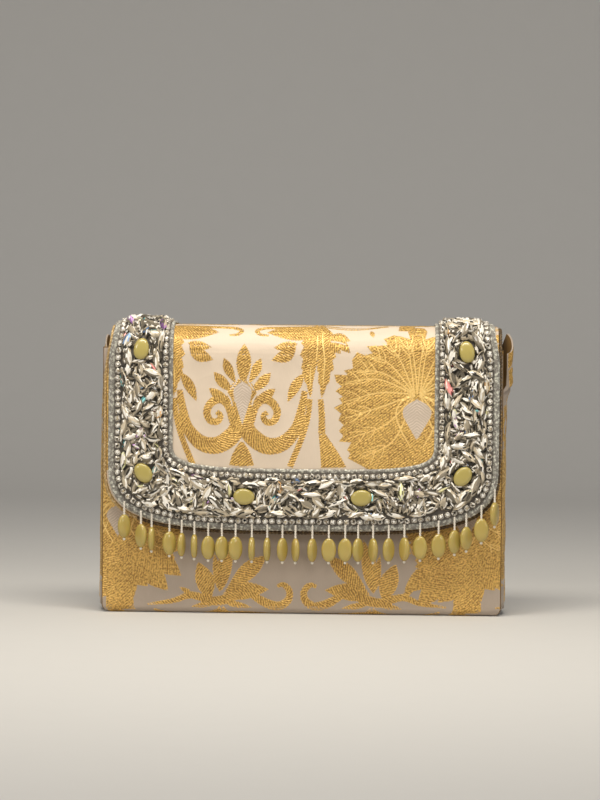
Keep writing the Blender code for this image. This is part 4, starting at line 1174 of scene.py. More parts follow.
class CLUTCH_OT_gussets(bpy.types.Operator):
    """Makes the two soft side gussets with their ears."""

    bl_idname = "clutch.gussets"
    bl_label = "Side gussets"

    def execute(self, context):
        s = sizes()
        half = s.lining_out
        drop = s.front_height - s.lining_top

        half_cut, long_cut = 0.030, 0.150  # the flat cloth that place bends

        # For each ear: how far it bows, how far its front seam leans out, and how much higher it stands
        ears = ((-1, "left", s.ear_bow - 0.0034, 0.0016, 0.0010), (1, "right", s.ear_bow, 0.0064, 0.0034))
        for side, word, ear_bow, flare, taller in ears:
            def place(x, v, h, side=side, ear_bow=ear_bow, flare=flare, taller=taller):
                across = math.sin(max(-1.0, min(1.0, x / half_cut)) * math.pi / 2)
                rim = s.front_height - drop * (1 + across) / 2
                top = rim + (s.ear_rise + taller) * (1 - across**2)
                up = v / long_cut
                z = s.floor + (top - s.floor) * up
                bow = 0.0032 + s.gusset_bow + (ear_bow - s.gusset_bow) * up**5
                full = max(0.0, 1 - abs(across) ** 3) ** 0.5
                soft = 0.00025 * math.sin(v * 190) * math.cos(x * 150) * full
                # Over its front seam the ear stands open, leaning out and back
                rise = min(1.0, max(0.0, (z - s.hinge_height + 0.024 + 0.003 * side) / 0.014))
                free = rise**2 * (3 - 2 * rise) * max(0.0, -across) ** 1.5
                out = s.seam_x + bow * full + soft + h + flare * free
                return Vector((side * out, across * half + 0.0030 * free, z - 0.0010 * free))

            outline = []
            cut = [(-half_cut, 0.0), (half_cut, 0.0), (half_cut, long_cut), (-half_cut, long_cut)]
            for a, b in zip(cut, cut[1:] + cut[:1]):
                for i in range(24):
                    outline.append((a[0] + (b[0] - a[0]) * i / 24, a[1] + (b[1] - a[1]) * i / 24))
            folds = [150.0 * i / 24 for i in range(1, 24)]
            rows = [("flower", 0.0, 108.0), ("spray", FIGURE_REPEAT / 2, 10.0)]
            motifs = brocade_rows(rows, 0, long_cut / MM, half_cut / MM)
            rim = [(0.0, -0.35), (0.15, -0.7), (0.3, -0.8)]
            obj = brocade(f"gusset_{word}_brocade", in_mm(outline), folds, motifs, place, rim, SATIN)
            # The gusset's ground is the satin painted darker: painted shade
            obj.data.materials[SATIN] = bpy.data.materials["body satin"]
            # The gusset's inner side takes the dark seam material: painted shadow, seen inside the ears
            obj.data.materials[INNER] = bpy.data.materials["seam shadow"]
            finish_piece(obj, "bag", (f"gusset_{word}",))
        return {"FINISHED"}


class CLUTCH_OT_lining(bpy.types.Operator):
    """Makes the sewn lining of the body, with a turned hem and its row of stitches."""

    bl_idname = "clutch.lining"
    bl_label = "Lining"

    def execute(self, context):
        s = sizes()
        half_x, half_y = s.seam_x - 0.0008, s.lining_out - 0.0001
        dice = random.Random(5)
        waves = [(dice.uniform(40, 120), dice.uniform(0, math.tau), dice.uniform(20, 60)) for _ in range(6)]

        def ring(inset, z, radius):
            points = []
            for cx, cy, start in ((1, 1, 0), (-1, 1, 90), (-1, -1, 180), (1, -1, 270)):
                for i in range(7):
                    a = math.radians(start + 15 * i)
                    points.append((cx * (half_x - radius) + (radius - inset) * math.cos(a),
                                   cy * (half_y - radius) + (radius - inset) * math.sin(a), z))
            fine = []
            for p, q in zip(points, points[1:] + points[:1]):
                steps = max(1, round(math.dist(p, q) / 0.006))
                fine += [tuple(a + (b - a) * i / steps for a, b in zip(p, q)) for i in range(steps)]
            return fine

        radius = 0.003
        rows = []
        for k in range(29):
            z = s.floor + (s.lining_top - s.floor) * k / 28
            line = []
            for x, y, z in ring(0.0002, z, radius):
                ease = math.sin(math.pi * min(1.0, max(0.0, (z - s.floor) / (s.lining_top - s.floor))))
                pull = sum(math.sin(x * f + p) * math.cos(z * g + p) for f, p, g in waves) / 6
                inward = 0.0007 * ease * max(0.0, 0.4 + pull)
                line.append(Vector((x, y - math.copysign(inward, y), z)))
            rows.append(line)
        build = Build()
        count = len(rows[0])
        thick = 0.0005
        inner = [[Vector((p.x - math.copysign(thick, p.x), p.y - math.copysign(thick, p.y),
                          max(p.z, s.floor + thick))) for p in line] for line in rows]
        loops = rows + inner[::-1]
        points = [p for line in loops for p in line]
        faces = ring_faces(len(loops), count)
        last = (len(loops) - 1) * count
        faces.append(tuple(range(count - 1, -1, -1)))
        faces.append(tuple(range(last, last + count)))
        build.add(points, faces)
        obj = build.object("body_lining_satin", ["lining satin"])
        finish_piece(obj, "bag", ("lining",))
        stitches = Build()
        path = ring(0.0010, s.lining_top - 0.0035, radius)
        flat_path = resampled([(p[0], p[1]) for p in path] + [(path[0][0], path[0][1])], STITCH_PITCH)
        for x, y, angle in flat_path[:-1]:
            way = Vector((math.cos(angle), math.sin(angle), 0.0)) * STITCH_HALF
            spot = Vector((x, y, path[0][2]))
            stitches.add(*tube([spot - way, spot, spot + way], STITCH_RADIUS))
        sewn = stitches.object("body_lining_stitches", ["stitches"])
        finish_piece(sewn, "bag", ())
        return {"FINISHED"}


class CLUTCH_OT_flap(bpy.types.Operator):
    """Makes the flap's brocade with its turned edges, its lining, its piping and the cloth of its hinge."""

    bl_idname = "clutch.flap"
    bl_label = "Flap"

    def execute(self, context):
        s = sizes()
        top = hinge_t() - 0.00015
        edge = thinned(with_arms(flap_edge(0.0), top), 0.0004)
        folds = [round(t / MM, 4) for t in flap_folds()]
        rows = [("flower", -32.8, 117.4), ("spray", -32.8, 165.4)]
        motifs = brocade_rows(rows, s.flap_low / MM, top / MM, s.flap_width / 2 / MM)
        rim = [(-0.02, -0.25), (0.0, -0.6), (0.0, -3.1), (0.15, -3.45), (0.45, -3.6), (5.0, -3.6), (5.0, -3.3),
               (0.75, -3.3), (0.75, -0.6)]
        obj = brocade("flap_brocade", in_mm(edge), folds, motifs, on_flap, rim)
        finish_piece(obj, "flap", ("flap_cover",))

        inset = 0.0015
        card = thinned(with_arms(flap_edge(inset), top - inset), 0.0006)
        board = brocade("flap_board_card", in_mm(card), folds, [], lambda x, t, h: on_flap(x, t, h - 0.0011),
                        [(0.0, -0.2), (0.0, -2.0)])
        all_in(board, "bag board")
        finish_piece(board, "flap", ("flap_board",))

        inset = 0.0032
        hem = thinned(with_arms(flap_edge(inset), top - 0.0030), 0.0006)
        plain = brocade("flap_lining_satin", in_mm(hem), folds, [], lambda x, t, h: on_flap(x, t, h - 0.0037),
                        [(-0.1, -0.15), (0.0, -0.35)])
        all_in(plain, "lining satin")
        finish_piece(plain, "flap", ("flap_lining",))
        stitches = Build()
        for x, t, angle in resampled(with_arms(flap_edge(inset + 0.0016), top - 0.005), STITCH_PITCH):
            way = (math.cos(angle) * STITCH_HALF, math.sin(angle) * STITCH_HALF)
            line = [on_flap(x + way[0] * k, t + way[1] * k, -0.0041) for k in (-1, 0, 1)]
            stitches.add(*tube(line, STITCH_RADIUS))
        finish_piece(stitches.object("flap_lining_stitches", ["stitches"]), "flap", ())

        # The piping: two strands laid round each other
        step, lay, off_axis = 0.0006, 0.0042, 0.00042
        path = resampled(with_arms(flap_edge(-0.0011), top - 0.001), step)
        piping = Build()
        for turn in (0.0, math.pi):
            line = []
            for i, (x, t, angle) in enumerate(path):
                a = math.tau * i * step / lay + turn
                side = off_axis * math.cos(a)
                line.append(on_flap(x - math.sin(angle) * side, t + math.cos(angle) * side,
                                    -0.0015 + off_axis * math.sin(a)))
            points, faces = tube(line, 0.00062, 6)
            piping.add(points, faces)
            # Gold down the left edge; along the bottom and the right the same cord is painted dark, as painted shade
            shade_from = -0.090
            piping.slots[-len(faces):] = [int(points[face[0]].x > shade_from) for face in faces]
        cord = piping.object("flap_piping_cord", ["gold cord", "dark cord"])
        finish_piece(cord, "flap", ("flap_piping",))

        # A tape that joins the flap to the back, inside the hinge
        tape = Build()
        width = s.flap_width / 2 - 0.004
        line = []
        for i in range(17):
            u = i / 16
            z = s.hinge_height - 0.006 + 0.012 * u
            line.append((s.body_depth / 2 - 0.0036 - 0.0004 * math.sin(math.pi * u), z))
        points = []
        for offset in (0.0, -0.0003):
            for y, z in line:
                points += [(-width, y + offset, z), (width, y + offset, z)]
        n = len(line)
        faces = [(2 * i, 2 * i + 1, 2 * i + 3, 2 * i + 2) for i in range(n - 1)]
        under = 2 * n
        faces += [(under + 2 * i, under + 2 * i + 2, under + 2 * i + 3, under + 2 * i + 1) for i in range(n - 1)]
        rims = [2 * i for i in range(n)] + [2 * i + 1 for i in reversed(range(n))]
        faces += [(a, b, b + under, a + under) for a, b in zip(rims, rims[1:] + rims[:1])]
        tape.add(points, faces)
        joined = tape.object("hinge_tape", ["lining satin"])
        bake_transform(joined)
        joined.data.shade_smooth()
        return {"FINISHED"}


class CLUTCH_OT_braids(bpy.types.Operator):
    """Plaits the two silver braids."""

    bl_idname = "clutch.braids"
    bl_label = "Silver braids"

    def execute(self, context):
        b = border()
        braids = (("outer_braid", flap_edge, b.outer_braid), ("inner_braid", window_edge, b.inner_braid))
        for name, edge, width in braids:
            centre = with_arms(edge(width / 2), border_top() - 0.0005)
            step = 0.00045
            path = resampled(centre, step)
            strands = 5 if width > 0.003 else 4
            thick = width / (2.1 * strands)
            pitch = width * 1.5
            build = Build()
            for k in range(strands):
                line = []
                for i, (x, t, angle) in enumerate(path):
                    a = math.tau * (i * step / pitch + k / strands)
                    side = (width / 2 - thick) * math.sin(a)
                    up = 0.0011 + 0.00042 * math.cos(2 * a)
                    line.append(on_border(x - math.sin(angle) * side, t + math.cos(angle) * side, up))
                build.add(*tube(line, thick))
            # The ground of the braid, between its strands
            flat = resampled(centre, 0.0015)
            points = []
            section = [(-0.46, 0.0004), (-0.46, 0.0010), (0.46, 0.0010), (0.46, 0.0004)]
            for x, t, angle in flat:
                for share, up in section:
                    side = width * share
                    points.append(on_border(x - math.sin(angle) * side, t + math.cos(angle) * side, up))
            faces = ring_faces(len(flat), 4) + [(3, 2, 1, 0), tuple(4 * len(flat) - 4 + k for k in range(4))]
            build.add(points, faces)
            obj = build.object(name + "_plait", ["silver thread"])
            finish_piece(obj, "flap", (name,))
        return {"FINISHED"}


def facet_tones(dice, count):
    """A painted reflection for each facet of a round stone: white, beige or near black."""
    tones = []
    for _ in range(count):
        roll = dice.random()
        if roll < 0.51:
            tone = Vector((1.0, 0.97, 0.90)) * dice.uniform(0.72, 1.0)
        elif roll < 0.84:
            tone = Vector((1.0, 0.83, 0.56)) * dice.uniform(0.16, 0.52)
        else:
            tone = Vector((1.0, 0.78, 0.52)) * dice.uniform(0.015, 0.09)
        tones.append(tuple(tone))
    return tones


def cut_round(radius, height, sides=8):
    """A round cut stone: girdle, star facets and a flat table."""
    points = circle(radius, sides, 0.0) + circle(0.82 * radius, sides, 0.55 * height, math.pi / sides)
    points += circle(0.5 * radius, sides, height)
    faces = []
    for k in range(sides):
        j = (k + 1) % sides
        faces += [(k, j, sides + k), (sides + k, j, sides + j), (sides + k, sides + j, 2 * sides + j),
                  (sides + k, 2 * sides + j, 2 * sides + k)]
    faces.append(tuple(range(2 * sides, 3 * sides)))
    faces.append(tuple(range(sides - 1, -1, -1)))
    return points, faces


class CLUTCH_OT_stone_chains(bpy.types.Operator):
    """Makes the two chains of round stones in their silver cups."""

    bl_idname = "clutch.stone_chains"
    bl_label = "Stone chains"

    def execute(self, context):
        b = border()
        dice = random.Random(21)
        rows = (("outer_stone_chain", flap_edge, b.outer_braid + 0.0002, b.outer_stone, b.outer_pitch),
                ("inner_stone_chain", window_edge, b.inner_braid + 0.0002, b.inner_stone, b.inner_pitch))
        for name, edge, start, size, pitch in rows:
            build = Build()
            radius = size / 2
            centre = with_arms(edge(start + radius), border_top() - radius)
            for x, t, _ in resampled(centre, pitch):
                x += dice.uniform(-0.0001, 0.0001)
                spin = dice.uniform(0, math.tau)
                lean = Matrix.Rotation(dice.uniform(-0.16, 0.16), 3, "X")
                lean = lean @ Matrix.Rotation(dice.uniform(-0.16, 0.16), 3, "Y") @ Matrix.Rotation(spin, 3, "Z")

                def spot(px, py, pz, x=x, t=t, lean=lean):
                    q = lean @ Vector((px, py, pz))
                    return on_border(x + q.x, t + q.y, 0.0014 + q.z)

                ring = []
                for z, r in ((0.0, 0.92), (0.0011, 1.0), (0.00125, 0.98), (0.00115, 0.86), (0.0004, 0.8)):
                    ring += circle(radius * r, 10, z)
                faces = ring_faces(5, 10) + [tuple(range(9, -1, -1)), tuple(range(40, 50))]
                build.add(ring, faces, 0, None, spot)
                points, faces = cut_round(radius * 0.88, 0.0009)
                points = [(px, py, pz + 0.0009) for px, py, pz in points]
                build.add(points, faces, 1, facet_tones(dice, len(faces)), spot)
                for k in range(4):
                    a = math.tau * k / 4 + 0.4
                    claw = [(radius * r * math.cos(a), radius * r * math.sin(a), z)
                            for r, z in ((1.0, 0.0009), (0.94, 0.0015), (0.72, 0.0017))]
                    build.add(*tube([spot(*q) for q in claw], [0.00026, 0.00026, 0.00018], 4))
            obj = build.object(name + "_stones", ["silver cups", "cut crystal"], toned=True)
            finish_piece(obj, "flap", (name,), smooth=False)
        return {"FINISHED"}


def cabochons():
    """Name, x, t and angle of the six oval stones."""
    s = sizes()
    arm = s.flap_width / 2 - s.border / 2
    places = []
    for side, word in ((-1, "left"), (1, "right")):
        places.append((f"cabochon_{word}_top", side * arm, s.hinge_height + 0.002, math.pi / 2))
        places.append((f"cabochon_{word}_corner", side * (arm - 0.002), window_low() - 0.003, side * math.pi * 0.28))
        places.append((f"cabochon_{word}_lower", side * 0.032, s.flap_low + s.border / 2 + 0.001, side * 0.1))
    return places


def within(x, t, half_width, low, rise, exponent):
    if t >= low + rise:
        return abs(x) < half_width
    return abs(x / half_width) ** exponent + max(0.0, (low + rise - t) / rise) ** exponent < 1


def in_field(x, t, outer, inner):
    """Whether a point is inside the border by at least those margins from its two edges."""
    s = sizes()
    half = s.flap_width / 2
    if not within(x, t, half - outer, s.flap_low + outer, s.flap_rise - outer, FLAP_CORNER):
        return False
    if within(x, t, half - s.border + inner, window_low() - inner, s.window_rise + inner, WINDOW_CORNER):
        return False
    return t < border_top() - 0.0015


TINTS = ((0.25, 0.5, 1.0), (0.2, 0.85, 0.9), (0.5, 0.2, 0.65), (0.9, 0.2, 0.2), (0.95, 0.5, 0.15), (0.95, 0.9, 0.4))


def marquise(length_m, width_m, height):
    """A pointed oval cut stone lying along X: two rows of long facets on each flank and a narrow table."""
    shape = [(1.0, 0.0), (0.55, 0.80), (0.0, 1.0), (-0.55, 0.80), (-1.0, 0.0), (-0.55, -0.80), (0.0, -1.0),
             (0.55, -0.80)]
    points = [(x * length_m / 2 * along, y * width_m / 2 * across, z * height)
              for along, across, z in ((0.84, 0.66, 0.0), (1.0, 1.0, 0.36), (0.80, 0.70, 0.78), (0.56, 0.30, 1.0))
              for x, y in shape]
    return points, ring_faces(4, 8) + [tuple(range(24, 32)), tuple(range(7, -1, -1))]


def stone_tones(dice, tint, upper):
    """A painted tone for each facet of a pointed stone, standing in for its reflections: one flank painted lit, the
    other painted dim, and a few painted sparks or dark facets.
    """
    lit, dim = dice.uniform(0.50, 0.95), dice.uniform(0.10, 0.42)
    # The lower layer is painted darker: painted shade under the upper stones
    if not upper:
        lit, dim = 0.6 * lit, 0.5 * dim
    if dice.random() < 0.5:
        lit, dim = dim, lit
    tones = []
    for k in range(26):
        value = dice.choice((lit, dim, 0.8)) if k >= 24 else (lit if k % 8 < 4 else dim) * dice.uniform(0.75, 1.15)
        roll = dice.random()
        if roll < 0.14:
            value = 0.03
        elif roll < 0.26:
            value = 1.0
        # The lowest ring of facets is painted darker: painted shade on the stone's underside
        if k < 8:
            value *= 0.3
        tone = Vector((1.0, 0.95, 0.86)) if value > 0.75 else Vector((1.0, 0.85, 0.62))
        tone *= min(1.0, value)
        if tint and dice.random() < 0.35:
            tone = tone.lerp(Vector(tint) * (0.3 + tone.x), 0.75)
        tones.append(tuple(min(1.0, max(0.0, c)) for c in tone))
    return tones


class CLUTCH_OT_crystals(bpy.types.Operator):
    """Sews the pointed crystals over the border's tape, in a loose heap of two layers."""

    bl_idname = "clutch.crystals"
    bl_label = "Crystals"

    def execute(self, context):
        s, b = sizes(), border()
        dice = random.Random(7)
        outer = b.outer_braid + b.outer_stone + 0.0004
        inner = b.inner_braid + b.inner_stone + 0.0003
        blocked = [(x, t) for _, x, t, _ in cabochons()]
        build = Build()
        # The tape
        rings = []
        for edge in (flap_edge(b.outer_braid - 0.0002), window_edge(b.inner_braid - 0.0002)):
            rings.append(resampled(with_arms(edge, border_top()), 0.0030))
        count = 130
        rows = []
        for ring in rings:
            line = [(x, t) for x, t, _ in ring]
            rows.append(resampled(line, sum(math.dist(p, q) for p, q in zip(line, line[1:])) / count))
        points, faces = [], []
        across = 8
        for height in (b.tape, 0.0003):
            for i in range(count + 1):
                (x0, t0, _), (x1, t1, _) = rows[0][i], rows[1][i]
                for k in range(across + 1):
                    u = k / across
                    points.append(on_border(x0 + (x1 - x0) * u, t0 + (t1 - t0) * u, height))
        under = len(points) // 2
        n = across + 1
        for i in range(count):
            for k in range(across):
                a = i * n + k
                faces.append((a, a + 1, a + n + 1, a + n))
                faces.append((under + a, under + a + n, under + a + n + 1, under + a + 1))
        rim = [i * n for i in range(count + 1)] + [count * n + k for k in range(1, n)]
        rim += [i * n + across for i in range(count - 1, -1, -1)] + [k for k in range(across - 1, 0, -1)]
        faces += [(p, q, q + under, p + under) for p, q in zip(rim, rim[1:] + rim[:1])]
        build.add(points, faces, 0)
        # The stones, small ones on the tape and longer ones over them: shares of the usual length and width,
        # the least distance of two stones, the height over the tape and the room left round an oval stone
        layers = ((0.62, 0.95, 0.66, 0.90, 0.00215, 0.0001, 0.0050), (0.85, 1.40, 0.80, 1.25, 0.0052, 0.0012, 0.0068))
        for upper, (shortest, longest, narrowest, widest, gap, lift, clear) in enumerate(layers):
            placed = []
            for _ in range(b.crystal_tries):
                x = dice.uniform(-s.flap_width / 2, s.flap_width / 2)
                t = dice.uniform(s.flap_low, border_top())
                long = b.crystal_length * dice.uniform(shortest, longest)
                wide = b.crystal_width * dice.uniform(narrowest, widest)
                angle = dice.uniform(0, math.pi)
                reach = (math.cos(angle) * long / 2, math.sin(angle) * long / 2)
                if not all(in_field(x + reach[0] * k, t + reach[1] * k, outer, inner)
                           for k in (-1, -0.5, 0, 0.5, 1)):
                    continue
                if any(math.dist((x + reach[0] * k, t + reach[1] * k), (p, q)) < clear
                       for p, q in blocked for k in (-0.9, -0.45, 0, 0.45, 0.9)):
                    continue
                if any(abs(x - p) < gap and abs(t - q) < gap and math.dist((x, t), (p, q)) < gap for p, q in placed):
                    continue
                placed.append((x, t))
                lean = Matrix.Rotation(dice.uniform(-0.26, 0.26), 3, "X")
                lean = lean @ Matrix.Rotation(dice.uniform(-0.15, 0.15), 3, "Y")
                turn = Matrix.Rotation(angle, 3, "Z") @ lean
                high = lift + dice.uniform(0, 0.0005)
                points, faces = marquise(long, wide, b.crystal_height * dice.uniform(0.75, 1.0))
                tint = dice.choice(TINTS) if dice.random() < 0.09 else None

                def spot(px, py, pz, x=x, t=t, turn=turn, high=high):
                    q = turn @ Vector((px, py, pz))
                    return on_border(x + q.x, t + q.y, b.tape + high + q.z)

                build.add(points, faces, 1, stone_tones(dice, tint, upper), spot)
        obj = build.object("crystal_field", ["border tape", "cut crystal"], toned=True)
        finish_piece(obj, "flap", ("crystal_band",), smooth=False)
        return {"FINISHED"}


class CLUTCH_OT_cabochons(bpy.types.Operator):
    """Makes the six oval yellow stones."""

    bl_idname = "clutch.cabochons"
    bl_label = "Oval stones"

    def execute(self, context):
        b = border()
        profile = [(0.82, 0.0), (0.95, 0.22), (1.0, 0.42), (0.985, 0.60), (0.93, 0.78), (0.83, 0.90), (0.68, 0.965),
                   (0.45, 0.992), (0.2, 1.0)]
        sides = 40
        for name, x, t, angle in cabochons():
            build = Build()
            long, wide = (0.0104, 0.0086) if name.endswith("top") else (0.0118, 0.0090)
            c, s = math.cos(angle), math.sin(angle)

            def spot(px, py, pz, x=x, t=t, c=c, s=s, long=long, wide=wide):
                px, py = px * long / 2, py * wide / 2
                return on_border(x + px * c - py * s, t + px * s + py * c, b.tape + 0.0003 + pz * 0.0039)

            points = [q for r, z in profile for q in circle(r, sides, z)]
            faces = ring_faces(len(profile), sides)
            points.append((0.0, 0.0, 1.0))
            last = (len(profile) - 1) * sides
            faces += [(last + k, last + (k + 1) % sides, len(points) - 1) for k in range(sides)]
            faces.append(tuple(range(sides - 1, -1, -1)))
            build.add(points, faces, 0, None, spot)
            obj = build.object(name + "_stone", ["yellow stone"])
            finish_piece(obj, "flap", (name,))
        return {"FINISHED"}


def bead_mesh():
    """One drop hung from the origin: two strands of thread, a flat oval bead and a silver seed bead."""
    b = border()
    build = Build()
    rings, sides = 9, 28
    centre = -(b.thread + b.bead_height / 2)
    points = []
    for half in (1, -1):
        for m in range(rings + 1):
            r = math.sin(math.pi / 2 * m / rings)
            y = half * b.bead_thickness / 2 * max(0.0, 1 - r**3.2) ** (1 / 2.6)
            for k in range(sides):
                a = math.tau * k / sides
                points.append((b.bead_width / 2 * r * math.cos(a), y, centre + b.bead_height / 2 * r * math.sin(a)))
    faces = []
    for half in range(2):
        shell = ring_faces(rings + 1, sides, half * (rings + 1) * sides)
        faces += [quad[::-1] for quad in shell] if half else shell
    build.add(points, faces, 0)
    for turn in (0.0, math.pi):
        line = []
        for i in range(27):
            z = 0.0004 - (b.thread + 0.0006) * i / 26
            a = i * 0.62 + turn
            line.append(Vector((0.00030 * math.cos(a), 0.00030 * math.sin(a), z)))
        build.add(*tube(line, 0.00034), slot=1)
    for radius, at in ((0.0008, centre - b.bead_height / 2 - 0.0005), (0.0006, -b.thread + 0.0002)):
        points = []
        for m in range(7):
            a = math.pi * m / 6
            points += circle(radius * max(0.12, math.sin(a)), 10, at + radius * math.cos(a))
        faces = [quad[::-1] for quad in ring_faces(7, 10)] + [tuple(range(10)), tuple(range(69, 59, -1))]
        build.add(points, faces, 1)
    obj = build.object("bead_drop_pattern", ["yellow bead", "pale thread"])
    mesh = obj.data
    bpy.data.objects.remove(obj)
    normals_out(mesh, weld=1e-6)
    mesh.shade_smooth()
    return mesh


class CLUTCH_OT_drops(bpy.types.Operator):
    """Hangs the fringe of bead drops."""

    bl_idname = "clutch.drops"
    bl_label = "Bead drops"
    # How far each bead is turned about its thread, in degrees, from the left
    twists = (43, -43, 88, 32, 78, 88, 32, 36, 30, 88, 82, 59, -71, 64, 0, -13, 53, -64, 48, -56, -13, 13, 43, 48,
              0, 67)

    def execute(self, context):
        mesh = bead_mesh()
        pivots = {joint["child"]: joint["pos_m"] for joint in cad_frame["joints"]}
        for number, twist in enumerate(self.twists, 1):
            name = f"bead_drop_{number:02d}"
            drop = bpy.data.objects.new(name + "_beads", mesh)
            bpy.context.scene.collection.objects.link(drop)
            drop.location = pivots[name]
            drop.rotation_euler.z = math.radians(twist)
            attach(drop, name)
            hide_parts(name)
        return {"FINISHED"}


def turned(profile, sides=48):
    """Points and faces turned about Z from a closed ring of (radius, z)."""
    points = [q for r, z in profile for q in circle(r, sides, z)]
    last = (len(profile) - 1) * sides
    faces = ring_faces(len(profile), sides)
    faces += [(last + k, last + (k + 1) % sides, (k + 1) % sides, k) for k in range(sides)]
    return points, faces


class CLUTCH_OT_snap(bpy.types.Operator):
    """Makes the visible parts of the magnetic snap, and dresses what stays of the solids."""

    bl_idname = "clutch.snap"
    bl_label = "Snap and boards"

    def execute(self, context):
        s = sizes()
        height = s.flap_low + s.border / 2
        front = -s.body_depth / 2 - 0.0003
        cap = [(0.0070, 0.0010), (0.0070, 0.0021), (0.0067, 0.00245), (0.0063, 0.0025), (0.0059, 0.0023),
               (0.0055, 0.00225), (0.0040, 0.0025), (0.0032, 0.0025), (0.0028, 0.0022), (0.0028, 0.0008),
               (0.0032, 0.0008), (0.0032, 0.0018), (0.0066, 0.0018), (0.0066, 0.0010)]
        under = -s.body_depth / 2 - 0.0042 + 0.0003
        stud = [(0.0003, 0.0024), (0.0012, 0.0024), (0.0016, 0.0020), (0.0016, 0.0009), (0.0020, 0.0008),
                (0.0062, 0.0008), (0.0068, 0.0006), (0.0070, 0.0003), (0.0070, 0.0), (0.0003, 0.0)]
        halves = (("snap_cap", cap, front, -1, "bag"), ("snap_stud", stud, under, 1, "flap"))
        for name, profile, y, way, body in halves:
            build = Build()

            def spot(px, py, pz, y=y, way=way):
                return Vector((px * way, y + pz * way, height + py))

            build.add(*turned(profile), place=spot)
            if name == "snap_stud":
                for side in (-1, 1):
                    leg = [(side * 0.0034, y - z, height + w) for z in (0.0, 0.0033) for w in (-0.0015, 0.0015)]
                    leg += [(x + side * 0.0006, ly, lz) for x, ly, lz in leg]
                    build.add(leg, [(0, 1, 3, 2), (4, 6, 7, 5), (0, 4, 5, 1), (2, 3, 7, 6), (0, 2, 6, 4),
                                    (1, 5, 7, 3)])
            obj = build.object(name + "_metal", ["gold plate"])
            normals_out(obj.data)
            finish_piece(obj, body, (name,))
            obj.data.set_sharp_from_angle(angle=math.radians(35))
        dressed = {"front_board": "bag board", "back_board": "bag board", "base_board": "bag board",
                   "snap_socket": "gold plate", "snap_socket_washer": "gold plate",
                   "snap_stud_washer": "gold plate", "snap_magnet": "magnet"}
        for name, used in dressed.items():
            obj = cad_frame["nodes"][name]
            obj.data.materials.clear()
            obj.data.materials.append(bpy.data.materials[used])
        return {"FINISHED"}


class CLUTCH_OT_stage(bpy.types.Operator):
    """Lays the pale floor and backdrop, sets the lights and the camera."""

    bl_idname = "clutch.stage"
    bl_label = "Stage"

    def execute(self, context):
        profile = [(-1.6, 0.0), (0.9, 0.0)]
        for i in range(1, 13):
            a = math.pi / 24 * i
            profile.append((0.9 + 0.5 * math.sin(a), 0.5 - 0.5 * math.cos(a)))
        profile.append((1.4, 2.6))
        points = [(x, y, z) for y, z in profile for x in (-2.6, 2.6)]
        faces = [(2 * i, 2 * i + 1, 2 * i + 3, 2 * i + 2) for i in range(len(profile) - 1)]
        backdrop = object_of("backdrop", points, faces, ["pale paper"])
        backdrop.data.shade_smooth()
        backdrop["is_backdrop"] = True

        world = bpy.data.worlds.new("studio")
        context.scene.world = world
        world.use_nodes = True
        world.node_tree.nodes["Background"].inputs[0].default_value = (1.0, 0.985, 0.965, 1.0)
        world.node_tree.nodes["Background"].inputs[1].default_value = 0.36

        def light(name, place, aim, size, power, tint):
            lamp = bpy.data.lights.new(name, "AREA")
            lamp.shape = "RECTANGLE"
            lamp.size, lamp.size_y = size
            lamp.energy = power
            lamp.color = tint
            obj = bpy.data.objects.new(name, lamp)
            obj.location = place
            way = Vector(aim) - Vector(place)
            obj.rotation_euler = way.to_track_quat("-Z", "Y").to_euler()
            context.scene.collection.objects.link(obj)

        light("overhead", (0.0, -0.29, 0.67), (0.0, -0.02, 0.10), (0.55, 0.22), 4.5, (1.0, 0.94, 0.83))
        light("front_left", (-0.75, -1.05, 0.75), (0.0, 0.0, 0.10), (0.35, 0.35), 3.25, (1.0, 0.96, 0.91))
        light("front_right", (0.9, -0.9, 0.45), (0.0, 0.0, 0.10), (0.2, 0.35), 1.1, (0.97, 0.98, 1.0))

        camera = bpy.data.cameras.new("camera")
        camera.lens = 132.1
        camera.sensor_width = 36.0
        camera.clip_start, camera.clip_end = 0.05, 20.0
        obj = bpy.data.objects.new("camera", camera)
        context.scene.collection.objects.link(obj)
        azimuth, elevation, away = math.radians(1.8), math.radians(2.0), 1.60
        back = Vector((math.sin(azimuth) * math.cos(elevation), -math.cos(azimuth) * math.cos(elevation),
                       math.sin(elevation)))
        obj.location = Vector((-0.0012, -sizes().flap_face, 0.1180)) + back * away
        roll = Matrix.Rotation(math.radians(0.54), 4, "Z")
        obj.rotation_euler = ((-back).to_track_quat("-Z", "Y").to_matrix().to_4x4() @ roll).to_euler()
        context.scene.camera = obj
        context.scene.view_settings.view_transform = "Standard"
        return {"FINISHED"}


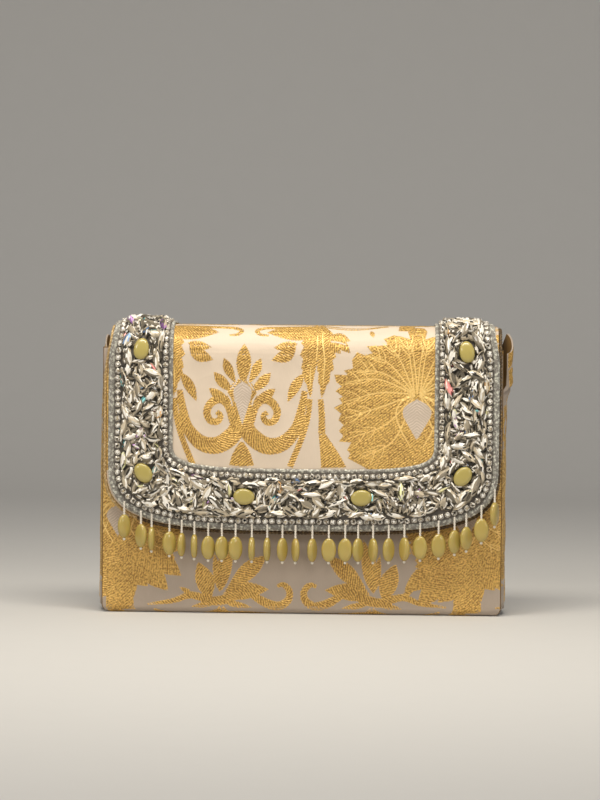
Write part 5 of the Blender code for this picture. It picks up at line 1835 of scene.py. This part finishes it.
class CLUTCH_PT_panel(bpy.types.Panel):
    """The clutch's sizes, colours and pieces."""

    bl_idname = "CLUTCH_PT_panel"
    bl_label = "Beaded clutch"
    bl_space_type = "VIEW_3D"
    bl_region_type = "UI"
    bl_category = "Clutch"

    def draw(self, context):
        scene = context.scene
        for group in (scene.clutch_sizes, scene.clutch_cloth, scene.clutch_border):
            box = self.layout.box()
            for name in group.__annotations__:
                box.prop(group, name)
        for operator in OPERATORS:
            self.layout.operator(operator.bl_idname)


GROUPS = (ClutchSizes, ClutchCloth, ClutchBorder)
OPERATORS = (CLUTCH_OT_stage, CLUTCH_OT_body, CLUTCH_OT_gussets, CLUTCH_OT_lining, CLUTCH_OT_flap, CLUTCH_OT_braids,
             CLUTCH_OT_stone_chains, CLUTCH_OT_crystals, CLUTCH_OT_cabochons, CLUTCH_OT_drops, CLUTCH_OT_snap)


def register():
    for cls in (*GROUPS, *OPERATORS, CLUTCH_PT_panel):
        bpy.utils.register_class(cls)
    bpy.types.Scene.clutch_sizes = PointerProperty(type=ClutchSizes)
    bpy.types.Scene.clutch_cloth = PointerProperty(type=ClutchCloth)
    bpy.types.Scene.clutch_border = PointerProperty(type=ClutchBorder)


def unregister():
    del bpy.types.Scene.clutch_border, bpy.types.Scene.clutch_cloth, bpy.types.Scene.clutch_sizes
    for cls in reversed((*GROUPS, *OPERATORS, CLUTCH_PT_panel)):
        bpy.utils.unregister_class(cls)


def corners(box):
    return [[float(c) for c in corner] for corner in box]


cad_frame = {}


def main():
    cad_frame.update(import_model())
    cad = corners(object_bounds())
    register()
    make_materials()
    material("pale paper", "Speckle",
             {"Light": (0.62, 0.605, 0.58, 1), "Dark": (0.60, 0.585, 0.56, 1), "Scale": 60.0, "Share": 0.6},
             0.02, 0.0001, Roughness=0.8)
    for operator in OPERATORS:
        area_name, verb = operator.bl_idname.split(".")
        getattr(getattr(bpy.ops, area_name), verb)()
    {"cad": cad, "visual": corners(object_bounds())}


if __name__ == "__main__":
    main()
